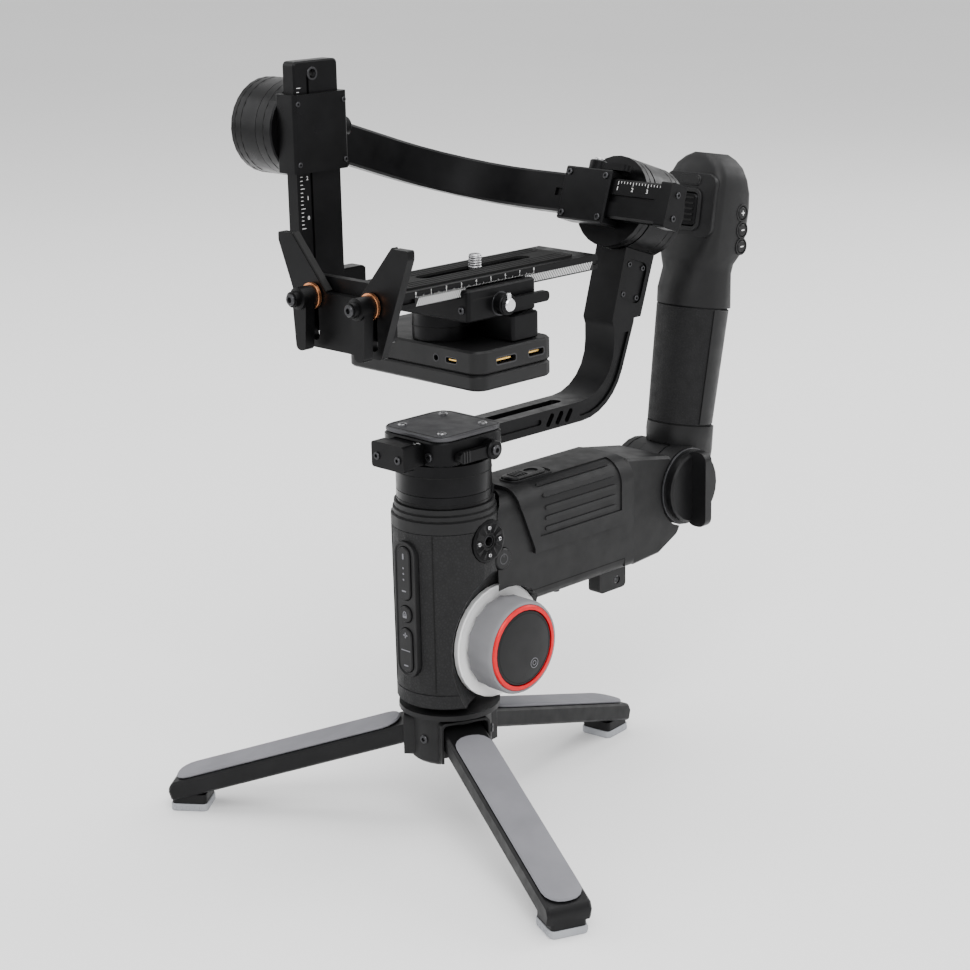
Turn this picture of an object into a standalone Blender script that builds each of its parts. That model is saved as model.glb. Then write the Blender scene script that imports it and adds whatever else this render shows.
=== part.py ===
"""Three-axis camera gimbal stabilizer with a focus wheel, a folding tripod and a rear sling handle.

Lengths are millimetres, and MM turns them into metres when a mesh is finished.
+Z is up, +Y is the rear and +X is the side with the focus wheel.
The design frame has the grip's axis at x = y = 0 and the tripod's feet at z = 0. The last step moves
the whole object so that the middle of its footprint is the origin.
"""

import math

import bmesh
import bpy
from mathutils import Matrix, Vector

MM = 0.001
GAP = 0.3  # between neighbouring pieces

# Tripod
LEG_AZIMUTHS = {"front": -22.9, "left": -142.9, "rear": 97.1}
LEG_REACH = 150.2
LEG_SLOPE = 16.8
LEG_WIDTH = 22.6
LEG_PIVOT = (16.0, 51.0)  # distance from the axis, height
LEG_HALF = 5.5
HUB_RADIUS = 21.3
FLANGE_RADIUS = 26.0
FLANGE_TOP = 64.6

# Grip
GRIP_BASE = 68.3
GRIP_RADIUS = 26.7
SLEEVE_TOP = 159.7
COLLAR_TOP = 172.0
STRIP_HALF = 7.25
STRIP_BASE, STRIP_TOP = 84.5, 155.0
WHEEL_CENTRE = (19.6, 94.8)
WHEEL_SEAT = 14.5
WHEEL_RADIUS = 24.4
WHEEL_BASE_RADIUS = 29.6
ROSETTE_CENTRE = (3.8, 153.3)
POWER_CENTRE = (15.9, 140.8)

# Battery body and rear handle
BODY_HALF = 24.0
BODY_BASE, BODY_TOP = 112.0, 171.6
BODY_REAR = 116.0
BODY_CORNER = 11.0
DOOR_PROUD = 2.0
DOOR_FOOT = 138.5
DOOR_HINGE = (25.2, 137.6)
CELL_RADIUS, CELL_LENGTH = 9.2, 65.0
HINGE_CENTRE = (167.0, 144.5)
HINGE_RADIUS = 22.0
HANDLE_FOOT = (183.4, 170.0)
HANDLE_LEAN = 9.6

# Pan axis
MOTOR_RADIUS = 24.1
ARM_HALF = 10.3
ARM_BASE, ARM_TOP = 195.0, 205.6
CLAMP_HALF = 23.0
CLAMP_TOP = 206.9

# Roll axis: it leans, so its parts are drawn in their own frame of x, s (rearwards) and h (upwards)
AXES_HEIGHT = 348.0
ROLL_LEAN = 19.0
ROLL_RADIUS = 24.0
BAR_FRONT, BAR_REAR = 122.0, 132.6
ROLL_BAR_END = 42.0
SIDE_ARM_IN, SIDE_ARM_OUT = -99.9, -110.6

# Tilt axis and camera base
TILT_RADIUS = 24.5
TILT_BAR_X = (-91.0, -82.0)
TILT_BAR_Y = (-17.0, 12.0)
BOX_X, BOX_Y = (-66.3, 30.0), (-4.0, 50.0)
BOX_BASE, BOX_SEAM, BOX_TOP = 230.3, 238.0, 250.0
PLATE_HALF = 19.8
PLATE_BASE, PLATE_TOP = 275.7, 283.6
PLATE_FRONT, PLATE_REAR = -53.0, 93.0
FORK_FRONT, FORK_REAR = -62.0, -57.6
FORK_LEVERS_X, FORK_LEVERS_Z = 20.5, 281.0

# Colour, roughness and metallic value of each kind of surface
LOOKS = {
    "black plastic": ((0.018, 0.018, 0.019), 0.55, 0.0),
    "black metal": ((0.022, 0.022, 0.023), 0.42, 0.6),
    "soft black": ((0.013, 0.013, 0.013), 0.75, 0.0),
    "grey rubber": ((0.23, 0.23, 0.25), 0.8, 0.0),
    "light metal": ((0.13, 0.13, 0.135), 0.4, 0.7),
    "white plastic": ((0.85, 0.85, 0.85), 0.35, 0.0),
    "red metal": ((0.72, 0.03, 0.03), 0.3, 0.5),
    "silver metal": ((0.62, 0.62, 0.62), 0.25, 1.0),
    "cell wrap": ((0.05, 0.2, 0.42), 0.4, 0.0),
    "board green": ((0.02, 0.16, 0.07), 0.5, 0.0),
}

ROLL_FRAME = Matrix.Translation((0, 0, AXES_HEIGHT)) @ Matrix.Rotation(math.radians(-ROLL_LEAN), 4, "X")
HANDLE_FRAME = Matrix.Translation((0, *HANDLE_FOOT)) @ Matrix.Rotation(math.radians(-HANDLE_LEAN), 4, "X")
PLACES = {}  # each body's frame, by the name of its empty


def clear_scene():
    for old in list(bpy.data.objects):
        bpy.data.objects.remove(old, do_unlink=True)


def across(u, v, along, axis):
    """The point at u, v in the plane across an axis, and at along on it."""
    if axis == "X":
        return Vector((along, u, v))
    if axis == "Y":
        return Vector((u, along, v))
    return Vector((u, v, along))


def rounded(corners, steps=5):
    """An outline whose corners (u, v, radius) are arcs. A corner without a radius stays sharp."""
    outline = []
    for index, corner in enumerate(corners):
        point = Vector(corner[:2])
        radius = corner[2] if len(corner) > 2 else 0.0
        if radius == 0:
            outline.append(tuple(point))
            continue
        before = (Vector(corners[index - 1][:2]) - point).normalized()
        after = (Vector(corners[(index + 1) % len(corners)][:2]) - point).normalized()
        half = math.acos(max(-1.0, min(1.0, before.dot(after)))) / 2
        centre = point + (before + after).normalized() * radius / math.sin(half)
        start = point + before * radius / math.tan(half) - centre
        end = point + after * radius / math.tan(half) - centre
        turn = start.angle_signed(end)
        for step in range(steps + 1):
            arm = start.copy()
            arm.rotate(Matrix.Rotation(-turn * step / steps, 2))
            outline.append(tuple(centre + arm))
    return outline


def rectangle(u_span, v_span, radius=0.0, steps=4):
    (u_low, u_high), (v_low, v_high) = u_span, v_span
    corners = ((u_low, v_low), (u_high, v_low), (u_high, v_high), (u_low, v_high))
    return rounded([(u, v, radius) for u, v in corners], steps)


def extrusion(outline, low, high, axis="Z"):
    """The outline, drawn across the axis, pushed from low to high along it."""
    mesh = bmesh.new()
    face = mesh.faces.new([mesh.verts.new(across(u, v, low, axis)) for u, v in outline])
    pushed = bmesh.ops.extrude_face_region(mesh, geom=[face])["geom"]
    far = [item for item in pushed if isinstance(item, bmesh.types.BMVert)]
    bmesh.ops.translate(mesh, vec=across(0, 0, high - low, axis), verts=far)
    bmesh.ops.recalc_face_normals(mesh, faces=mesh.faces)
    return mesh


def block(x_span, y_span, z_span, radius=0.0, axis="Z", steps=4):
    """A box whose edges along one axis are rounded."""
    spans = {"X": (y_span, z_span, x_span), "Y": (x_span, z_span, y_span), "Z": (x_span, y_span, z_span)}
    u_span, v_span, along = spans[axis]
    return extrusion(rectangle(u_span, v_span, radius, steps), *along, axis)


def turned(profile, axis="Z", centre=(0.0, 0.0), steps=20, ripple=None):
    """A solid of revolution from points (radius, along). A ring's profile stays off the axis.

    ripple, where given, changes a point's radius and place along the axis by its step.
    """
    mesh = bmesh.new()
    rings = []
    for radius, along in profile:
        ring = []
        for step in range(steps if radius else 1):
            angle = 2 * math.pi * step / steps
            here = ripple(radius, along, step) if ripple else (radius, along)
            u = centre[0] + here[0] * math.cos(angle)
            v = centre[1] + here[0] * math.sin(angle)
            ring.append(mesh.verts.new(across(u, v, here[1], axis)))
        rings.append(ring)
    pairs = list(zip(rings, rings[1:]))
    if profile[0][0]:
        pairs.append((rings[-1], rings[0]))
    for near, far in pairs:
        for step in range(steps):
            after = (step + 1) % steps
            corners = [near[step % len(near)], near[after % len(near)]]
            corners += [far[after % len(far)], far[step % len(far)]]
            mesh.faces.new(list(dict.fromkeys(corners)))
    bmesh.ops.recalc_face_normals(mesh, faces=mesh.faces)
    return mesh


def drum(radius, low, high, axis="Z", centre=(0.0, 0.0), steps=20, edge=0.0):
    """A solid cylinder, with its far edge chamfered where edge is given."""
    profile = [(0, low), (radius, low), (radius, high - edge), (radius - edge, high), (0, high)]
    if edge == 0:
        profile.pop(3)
    return turned(profile, axis, centre, steps)


def loft(sections, steps=20):
    """A skin over sections of local Z: (height, half width, front reach, rear reach, squareness)."""
    mesh = bmesh.new()
    rings = []
    for height, half, front, rear, power in sections:
        ring = []
        for step in range(steps):
            angle = 2 * math.pi * step / steps
            cosine, sine = math.cos(angle), math.sin(angle)
            reach = rear if sine > 0 else front
            x = half * math.copysign(abs(cosine) ** (2 / power), cosine)
            y = reach * math.copysign(abs(sine) ** (2 / power), sine)
            ring.append(mesh.verts.new((x, y, height)))
        rings.append(ring)
    for low, high in zip(rings, rings[1:]):
        for step in range(steps):
            after = (step + 1) % steps
            mesh.faces.new((low[step], low[after], high[after], high[step]))
    mesh.faces.new(rings[0][::-1])
    mesh.faces.new(rings[-1])
    bmesh.ops.recalc_face_normals(mesh, faces=mesh.faces)
    return mesh


def body(name, parent=None, place=(0, 0, 0), turn=None):
    """An empty on a joint's axis, which carries the pieces that move together."""
    frame = Matrix.Translation(place)
    if turn:
        frame = frame @ turn.to_3x3().to_4x4()
    PLACES[name] = frame
    empty = bpy.data.objects.new(name, None)
    empty.empty_display_size = 10 * MM
    bpy.context.scene.collection.objects.link(empty)
    local = frame
    if parent:
        empty.parent = bpy.data.objects[parent]
        local = PLACES[parent].inverted() @ frame
    empty.location = local.to_translation() * MM
    empty.rotation_euler = local.to_euler()
    return name


def material(name, look):
    colour, roughness, metallic = LOOKS[look]
    made = bpy.data.materials.new(name)
    made.use_nodes = True
    shader = made.node_tree.nodes["Principled BSDF"]
    shader.inputs["Base Color"].default_value = (*colour, 1.0)
    shader.inputs["Roughness"].default_value = roughness
    shader.inputs["Metallic"].default_value = metallic
    made.diffuse_color = (*colour, 1.0)
    return made


def solid(name, mesh, owner, frame=None):
    """Puts a mesh, drawn in the design frame or in the given one, on its body's empty."""
    mesh.transform(Matrix.Scale(MM, 4) @ PLACES[owner].inverted() @ (frame or Matrix()))
    data = bpy.data.meshes.new(name)
    mesh.to_mesh(data)
    mesh.free()
    data.shade_smooth()
    data.set_sharp_from_angle(angle=math.radians(32))
    made = bpy.data.objects.new(name, data)
    made.parent = bpy.data.objects[owner]
    bpy.context.scene.collection.objects.link(made)
    return made


def piece(name, mesh, look, owner, frame=None, bevel=0.0, bevel_steps=1):
    """A visible sub-part. bevel rounds its sharp edges before anything is cut from it."""
    made = solid(name, mesh, owner, frame)
    made.data.materials.append(material(name, look))
    if bevel:
        edge = made.modifiers.new("edge", "BEVEL")
        edge.width = bevel * MM
        edge.segments = bevel_steps
        edge.limit_method = "ANGLE"
        edge.angle_limit = math.radians(40)
    return made


def combine(target, mesh, operation, frame=None):
    """Joins a hidden solid to a sub-part, or cuts it away."""
    count = len(target.modifiers)
    tool = solid(f"{target.name}_tool_{count}", mesh, target.parent.name, frame)
    tool.hide_render = True
    tool.display_type = "WIRE"
    modifier = target.modifiers.new(f"{operation.lower()}_{count}", "BOOLEAN")
    modifier.operation = operation
    modifier.solver = "EXACT"
    modifier.object = tool


def cut(target, mesh, frame=None):
    combine(target, mesh, "DIFFERENCE", frame)


def join(target, mesh, frame=None):
    combine(target, mesh, "UNION", frame)


def tripod():
    """Hub with a threaded stud, and three legs that fold down below it."""
    body("root")
    body("grip_frame", "root")
    profile = [(0, 36), (19.8, 36), (HUB_RADIUS, 37.5), (HUB_RADIUS, 60.6), (FLANGE_RADIUS, 62)]
    profile += [(FLANGE_RADIUS, FLANGE_TOP), (13.5, FLANGE_TOP), (13.5, GRIP_BASE - GAP)]
    profile += [(5, GRIP_BASE - GAP), (5, 76), (0, 76)]
    hub = piece("tripod_hub", turned(profile, steps=28), "black plastic", "grip_frame")
    for side, azimuth in LEG_AZIMUTHS.items():
        turn = Matrix.Rotation(math.radians(azimuth), 4, "Z")
        half = LEG_WIDTH / 2 + 0.4
        cut(hub, block((9.5, 40), (-half, half), (30, 58), 3.0, "X"), turn)
        leg(side, turn)


def leg(side, turn):
    reach, height = LEG_PIVOT
    pivot = turn @ Vector((reach, 0, height))
    owner = body(f"leg_{side}_pivot", "grip_frame", pivot, turn)
    slope = Matrix.Rotation(math.radians(LEG_SLOPE), 4, "Y")
    frame = turn @ Matrix.Translation((reach, 0, height)) @ slope
    length = (LEG_REACH - reach) / math.cos(math.radians(LEG_SLOPE)) - 1.5
    top = LEG_HALF - 1.3
    outline = rounded([(-LEG_HALF, -LEG_HALF, 5.0), (length, -LEG_HALF), (length, 1.0),
                       (length - 3, top), (-LEG_HALF, top, 4.0)])
    half = LEG_WIDTH / 2
    bar = extrusion(outline, -half, half, "Y")
    made = piece(f"tripod_leg_{side}", bar, "soft black", owner, frame, bevel=1.2)
    foot = block((LEG_REACH - 21, LEG_REACH - 2.5), (-9, 9), (0, 9), 2.0)
    join(made, foot, turn)
    pad = block((9.0, length - 4.5), (-10.0, 10.0), (top + GAP, top + 2.0), 8.5)
    piece(f"leg_pad_{side}", pad, "grey rubber", owner, frame, bevel=0.7)


def grip():
    """Sleeve, collar and everything that sits in them."""
    low, high = GRIP_RADIUS, GRIP_RADIUS + 0.4
    profile = [(0, GRIP_BASE), (low - 0.7, GRIP_BASE), (low, GRIP_BASE + 0.7), (low, 75.4), (low - 0.5, 75.8)]
    profile += [(low, 76.2), (high, SLEEVE_TOP), (0, SLEEVE_TOP)]
    sleeve = piece("grip_sleeve", turned(profile, steps=28), "black plastic", "grip_frame")
    cut(sleeve, drum(5.3, GRIP_BASE - 5, 77))
    pocket, floor = WHEEL_BASE_RADIUS + 0.4, WHEEL_SEAT - GAP
    dish = [(0, floor), (pocket, floor), (pocket + 14, floor + 12), (pocket + 14, 40), (0, 40)]
    cut(sleeve, turned(dish, "X", WHEEL_CENTRE, 32))
    cut(sleeve, strip_block(-22.0, -40.0, GAP))
    profile = [(0, SLEEVE_TOP + GAP), (high, SLEEVE_TOP + GAP), (high, 165.6), (high - 0.9, 166)]
    profile += [(high - 0.9, 168.6), (high - 1.7, 169), (high - 1.7, COLLAR_TOP), (0, COLLAR_TOP)]
    collar = piece("grip_collar", turned(profile, steps=28), "black plastic", "grip_frame")
    for part in (sleeve, collar):
        cut(part, drum(11.2, 20.7, 40, "X", ROSETTE_CENTRE))
    cut(sleeve, drum(5.9, 19.7, 40, "X", POWER_CENTRE))
    control_strip()
    rosette()
    owner = body("power_button_slide", "grip_frame", (25.2, *POWER_CENTRE))
    button = turned([(0, 21.2), (5.5, 21.2), (5.5, 24.7), (4.9, 25.2), (0, 25.2)], "X", POWER_CENTRE, 24)
    piece("power_button", button, "black plastic", owner)


def strip_block(front, rear, grow):
    half = STRIP_HALF + grow
    return block((-half, half), sorted((front, rear)), (STRIP_BASE - grow, STRIP_TOP + grow), half - 0.4, "Y", 6)


def control_strip():
    """A raised frame on the front, with a mode pill, a round lock button and a zoom rocker in its wells."""
    face = -28.3
    frame = piece("control_frame", strip_block(-22.3, face, 0), "soft black", "grip_frame")
    wells = {"mode_button": (124.5, 153.0), "lock_button": (112.8, 122.2), "zoom_rocker": (86.5, 110.5)}
    for name, (low, high) in wells.items():
        half = 4.6
        middle = (low + high) / 2
        cut(frame, block((-half, half), (face - 2, face + 4.2), (low, high), half - 0.1, "Y", 5))
        owner = body(f"{name}_joint", "grip_frame", (0, face + 1, middle))
        inner = half - 0.4
        shape = block((-inner, inner), (face - 1.1, face + 2.4), (low + 0.4, high - 0.4), inner - 0.1, "Y", 5)
        piece(name, shape, "black plastic", owner, bevel=0.5)


def rosette():
    """A toothed ring round a threaded hole, for accessories."""
    teeth = 12

    def tooth(radius, along, step):
        return radius, along - (0.7 if step % 2 and along == 28.0 else 0.0)

    profile = [(3.2, 21), (10.9, 21), (10.9, 27.0), (9.8, 27.3), (9.4, 28.0), (4.8, 28.0), (4.4, 27.2), (3.2, 27.2)]
    mesh = turned(profile, "X", ROSETTE_CENTRE, 2 * teeth, tooth)
    piece("rosette_mount", mesh, "black metal", "grip_frame")


def focus_wheel():
    """A white dished seat, and a wheel of grey rubber, a red ring and a black face on it."""
    seat = WHEEL_SEAT
    edge = WHEEL_BASE_RADIUS
    profile = [(0, seat), (edge, seat), (edge, seat + 2.5), (edge - 0.9, seat + 2.8), (edge - 4, seat + 1.6)]
    profile += [(18.4, seat + 1.6), (18.4, seat + 5.6), (0, seat + 5.6)]
    piece("wheel_base", turned(profile, "X", WHEEL_CENTRE, 32), "white plastic", "grip_frame")
    owner = body("wheel_axle", "grip_frame", (seat, *WHEEL_CENTRE))
    scallops, steps = 16, 48

    def scallop(radius, along, step):
        dip = 0.45 * (1 - math.cos(2 * math.pi * scallops * step / steps))
        return (radius - dip if radius > 22 and along < 31 else radius), along

    bore, outer, lip = 19.9, WHEEL_RADIUS, 22.5
    profile = [(bore, 17.7), (outer - 0.8, 17.7), (outer, 18.6), (outer, 32.2), (23.6, 34.0), (lip, 34.2)]
    profile += [(lip, 32.4), (bore, 32.4)]
    ring = turned(profile, "X", WHEEL_CENTRE, steps, scallop)
    piece("wheel_rubber_ring", ring, "grey rubber", owner)
    profile = [(bore, 32.7), (lip - GAP, 32.7), (lip - GAP, 34.4), (lip - 0.8, 35.0), (bore, 35.0)]
    piece("wheel_red_ring", turned(profile, "X", WHEEL_CENTRE, 32), "red metal", owner)
    profile = [(0, 20.4), (19.5, 20.4), (19.6, 34.2), (18.7, 34.9), (11, 35.4), (0, 35.7)]
    piece("wheel_face", turned(profile, "X", WHEEL_CENTRE, 32), "black plastic", owner)


def battery_body():
    """The horizontal shell behind the grip, with its door, latch, cells and board."""
    corner = BODY_CORNER
    section = rounded([(-BODY_HALF, BODY_BASE, 5), (BODY_HALF, BODY_BASE, 5),
                       (BODY_HALF, BODY_TOP, corner), (-BODY_HALF, BODY_TOP, corner)], 6)
    shell = piece("body_shell", extrusion(section, 12, BODY_REAR, "Y"), "black plastic", "grip_frame")
    gusset = rounded([(12, 70, 3), (31, 70, 8), (46, 90, 12), (54, BODY_BASE + 6), (12, BODY_BASE + 6)])
    gusset_half = WHEEL_SEAT - 0.7
    join(shell, extrusion(gusset, -gusset_half, gusset_half, "X"))
    join(shell, block((10, 18), (95, BODY_REAR - GAP), (100, BODY_BASE + 3), 2.5, "X"))
    cut(shell, drum(GRIP_RADIUS + 0.7, 60, 180, steps=28))
    cut(shell, drum(WHEEL_BASE_RADIUS + 0.4, WHEEL_SEAT - GAP, 40, "X", WHEEL_CENTRE, 32))
    cut(shell, drum(5.9, 19.7, 40, "X", POWER_CENTRE))
    cut(shell, drum(11.2, 20.7, 40, "X", ROSETTE_CENTRE))
    cut(shell, block((-21.5, 21.4), (42, 110), (115.0, 154.5), 2.0, "Y"))
    cut(shell, block((10, 30), (46, 106), (141.5, 160), 2.0, "X"))
    cut(shell, drum(2.2, 5, 25, "X", (109, 105), 16))
    centres = ((11.8, 124.6), (-7.4, 124.6), (2.2, 141.6))
    for number, (x, z) in enumerate(centres, 1):
        cell = turned([(0, 43.5), (CELL_RADIUS, 43.5), (CELL_RADIUS, 43.5 + CELL_LENGTH - 1.5),
                       (3, 43.5 + CELL_LENGTH - 1.5), (3, 43.5 + CELL_LENGTH), (0, 43.5 + CELL_LENGTH)],
                      "Y", (x, z), 24)
        piece(f"battery_cell_{number}", cell, "cell wrap", "grip_frame")
    board = block((-20.9, -19.3), (46, 106), (117, 151), 2.0, "X")
    piece("main_board", board, "board green", "grip_frame")
    battery_door()


def door_section(inner, outer):
    """A band round the upper right corner of the body, between two distances outside the shell."""
    corner = BODY_CORNER
    inside, outside = BODY_HALF + inner, BODY_HALF + outer
    low, high = BODY_TOP + inner, BODY_TOP + outer
    return rounded([(inside, DOOR_FOOT), (outside, DOOR_FOOT), (outside, high, corner + outer),
                    (-4, high), (-4, low), (inside, low, corner + inner)], 8)


def battery_door():
    owner = body("door_hinge", "grip_frame", (DOOR_HINGE[0], 75, DOOR_HINGE[1]))
    band = extrusion(door_section(GAP, DOOR_PROUD), 28, 112, "Y")
    door = piece("battery_door", band, "black plastic", owner)
    slant = [(20, 120), (20, 185), (28.5, 185), (28.5, 164), (38, 141), (38, 120)]
    cut(door, extrusion(slant, -20, 60, "X"))
    recess = extrusion(door_section(DOOR_PROUD - 0.7, DOOR_PROUD + 3), 42, 104, "Y")
    trim = block((-10, 40), (30, 120), (DOOR_FOOT - 5, 146.5), 0)
    recess = minus(recess, trim)
    cut(door, minus(recess, block((-10, 14.5), (30, 120), (150, 190), 0)))
    owner = body("latch_slide", owner, (7.5, 49, BODY_TOP + DOOR_PROUD))
    base = BODY_TOP + DOOR_PROUD + GAP
    latch = piece("door_latch", block((2.5, 13), (36, 62), (base, base + 1.9), 4.5), "black plastic", owner,
                  bevel=0.6)
    cut(latch, block((4.5, 11), (50, 58), (base + 1.2, base + 4), 3.0))


def minus(mesh, tool):
    """The first mesh with the second cut away, as a mesh."""
    parts = []
    for index, shape in enumerate((mesh, tool)):
        data = bpy.data.meshes.new(f"part_{index}")
        shape.to_mesh(data)
        shape.free()
        made = bpy.data.objects.new(f"part_{index}", data)
        bpy.context.scene.collection.objects.link(made)
        parts.append(made)
    modifier = parts[0].modifiers.new("cut", "BOOLEAN")
    modifier.object = parts[1]
    evaluated = parts[0].evaluated_get(bpy.context.evaluated_depsgraph_get())
    left = bmesh.new()
    left.from_mesh(evaluated.to_mesh())
    evaluated.to_mesh_clear()
    for made in parts:
        bpy.data.objects.remove(made, do_unlink=True)
    return left


def rear_hinge():
    """The neck behind the body, with the fixed middle of the barrel, and the locking knob beside it."""
    y, z = HINGE_CENTRE
    side = [(BODY_REAR + GAP, 111.5), (123.7, 109.7), (144.4, 111.2), (159.1, 118.3, 4), (y, 130), (y, 155),
            (152, 164.5, 5), (BODY_REAR + GAP, 170.5)]
    neck = piece("hinge_neck", extrusion(rounded(side), -19, 18, "X"), "black plastic", "grip_frame", bevel=1.5)
    clearance = HINGE_RADIUS + 0.5
    cut(neck, drum(clearance, -40, -6.8, "X", HINGE_CENTRE, 24))
    cut(neck, drum(clearance, 6.8, 40, "X", HINGE_CENTRE, 24))
    join(neck, drum(HINGE_RADIUS, -6.8, 6.8, "X", HINGE_CENTRE, 24))
    owner = body("hinge_knob_axle", "grip_frame", (17.3, y, z))
    profile = [(0, 17.4), (21, 17.4), (21, 18.8), (19.5, 19.0), (19.5, 22.4), (18.4, 23.4), (0, 23.4)]
    knob = piece("hinge_knob", turned(profile, "X", HINGE_CENTRE, 24), "soft black", owner)
    join(knob, block((20, 33), (y - 2.6, y + 2.6), (z - 21, z + 21), 5.0, "Y"))


def rear_handle():
    """The handle's shell with its two hinge ears, its textured sleeve, its trigger and three buttons."""
    owner = body("handle_hinge", "grip_frame", (0, *HINGE_CENTRE))
    sections = [(-26, 16.9, 16, 14, 2.6), (-9, 17.0, 18, 16, 2.6), (-0.5, 18.4, 21.2, 15.4, 2.1)]
    sections += [(4.5, 18.2, 21.2, 15.2, 2.1), (4.5, 12.2, 15.6, 8.4, 2), (70, 12.2, 15.6, 8.4, 2)]
    sections += [(70, 19.9, 23.4, 17.0, 2.1), (78, 19.3, 23.8, 14.6, 2.3), (89, 18.8, 20.2, 12.2, 2.4)]
    sections += [(94, 19.3, 20.6, 11.4, 2.8), (99.6, 19.9, 18.8, 14.6, 4), (110, 20, 16, 16.2, 5)]
    sections += [(125, 20, 16, 16.8, 5), (133, 20, 16, 15.4, 5), (140, 19.4, 15.6, 12.8, 4.5)]
    sections += [(146, 16.5, 14.6, 11.4, 4), (150, 12, 13, 10, 3.5), (152.6, 7, 10.5, 8, 3)]
    shell = piece("handle_shell", loft(sections), "black plastic", owner, HANDLE_FRAME)
    cut(shell, drum(HINGE_RADIUS + 0.5, -7.1, 7.1, "X", HINGE_CENTRE, 28))
    for low, high in ((-20, -7.3), (7.3, 17.1)):
        join(shell, drum(HINGE_RADIUS - 0.3, low, high, "X", HINGE_CENTRE, 24))
    cut(shell, block((-7, 7), (-40, -8.5), (112.5, 131), 3.0, "Y"), HANDLE_FRAME)
    profile = [(13.4, 4.9), (17.2, 4.9), (17.7, 5.6), (19.6, 69.0), (19.1, 69.6), (13.4, 69.6)]
    piece("handle_grip", turned(profile, "Z", (0, -3), 24), "soft black", owner, HANDLE_FRAME)
    slide = body("trigger_slide", owner, HANDLE_FRAME @ Vector((0, -14, 121.7)), HANDLE_FRAME)
    trigger = block((-6.6, 6.6), (-17.6, -10.3), (113.0, 130.5), 2.6, "Y")
    piece("handle_trigger", trigger, "black metal", slide, HANDLE_FRAME, bevel=0.8)
    for number, (v, height) in enumerate(((6.1, 122.3), (7.6, 113.1), (8.4, 104.2)), 1):
        slide = body(f"handle_button_{number}_slide", owner, HANDLE_FRAME @ Vector((19, v, height)))
        cut(shell, drum(3.7, 13.6, 30, "X", (v, height), 16), HANDLE_FRAME)
        button = drum(3.3, 15.2, 20.6, "X", (v, height), 16, 0.5)
        piece(f"handle_button_{number}", button, "grey rubber", slide, HANDLE_FRAME)


def pan_axis():
    """Motor, clamp and the arm that slides in it."""
    stator = [(0, COLLAR_TOP + GAP), (MOTOR_RADIUS, COLLAR_TOP + GAP), (MOTOR_RADIUS, 178), (0, 178)]
    piece("pan_motor_stator", turned(stator, steps=28), "black metal", "grip_frame")
    owner = body("pan_axle", "grip_frame", (0, 0, 186))
    motor_top = ARM_BASE - 2 * GAP
    piece("pan_motor_rotor", drum(MOTOR_RADIUS, 178.3, motor_top, steps=28, edge=0.8), "black metal", owner)
    half = CLAMP_HALF
    clamp = piece("pan_clamp_block", block((-half, half), (-half, half), (motor_top + GAP, CLAMP_TOP), 9),
                  "black metal", owner, bevel=0.8)
    gap = ARM_HALF + GAP
    cut(clamp, block((-gap, gap), (-40, 40), (motor_top - 1, ARM_TOP + GAP)))
    plate = half - 0.6
    top = block((-plate, plate), (-plate, plate), (CLAMP_TOP + GAP, CLAMP_TOP + 2.5), 8.5)
    piece("pan_clamp_plate", top, "light metal", owner, bevel=0.5)
    knob_y, knob_z = 8, 199.5
    lever_owner = body("pan_lever_pin", owner, (25, knob_y, knob_z))
    lever = piece("pan_clamp_lever", drum(4.9, half + GAP, 28.8, "X", (knob_y, knob_z), 24, 0.6), "black metal",
                  lever_owner)
    join(lever, block((half + 1, 27.6), (-15, knob_y), (196.4, 202), 2.4, "X"))
    pan_arm(owner)


def band(points):
    """An outline with long, smooth bends."""
    return rounded(points, 6)


def pan_arm(owner):
    slide = body("pan_arm_slide", owner, (0, 0, (ARM_BASE + ARM_TOP) / 2))
    front, rear = 140.5, 163.9  # of the upright part, along the roll axis
    saddle = -19.0
    upper_rear = ROLL_FRAME @ Vector((0, rear, saddle))
    upper_front = ROLL_FRAME @ Vector((0, front, saddle))
    side = band([(-30.7, ARM_BASE), (113.7, ARM_BASE, 34), (131.5, 241), (131.8, 243), (137, 243),
                 tuple(upper_rear.yz), tuple(upper_front.yz), (114.6, 244), (116.0, 240), (116, ARM_TOP, 26),
                 (-30.7, ARM_TOP)])
    arm = piece("pan_arm", extrusion(side, -ARM_HALF, ARM_HALF, "X"), "black metal", slide)
    join(arm, block((-11.4, 11.4), (-37.5, -30), (ARM_BASE - 1.2, ARM_TOP + 1.2), 1.5, "Y"))
    cut(arm, drum(ROLL_RADIUS + GAP, 120, 190, "Y", steps=28), ROLL_FRAME)
    cut(arm, block((-3.4, 3.4), (30, 84), (ARM_TOP - 2.4, ARM_TOP + 5), 3.2))
    for sign in (-1, 1):
        wall = sorted((sign * (ARM_HALF - 1.0), sign * 20))
        cut(arm, block(wall, (-22, 60), (198.8, 201.8), 1.4, "X"))
        inset = band([(89, 197.8), (112.2, 197.8, 31), (127.4, 236.5), (119.2, 236.5), (119, 202.8, 27),
                      (89, 202.8)])
        cut(arm, extrusion(inset, *wall, "X"))
        cut(arm, block(wall, (144, 160.5), (-49, -27), 4, "X"), ROLL_FRAME)
    for number in range(3):
        middle = 66.5 + 7 * number
        hole = rounded([(middle - 4.2, 196.6, 1.2), (middle - 0.6, 196.6, 1.2), (middle + 4.2, 203.4, 1.2),
                        (middle + 0.6, 203.4, 1.2)], 2)
        cut(arm, extrusion(hole, -20, 20, "X"))
    cover = block((-7.6, 7.6), (rear + GAP, rear + 1.7), (-52, -28), 2.5, "Y")
    piece("pan_arm_rear_cover", cover, "soft black", slide, ROLL_FRAME)
    roll_axis(slide)


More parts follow.
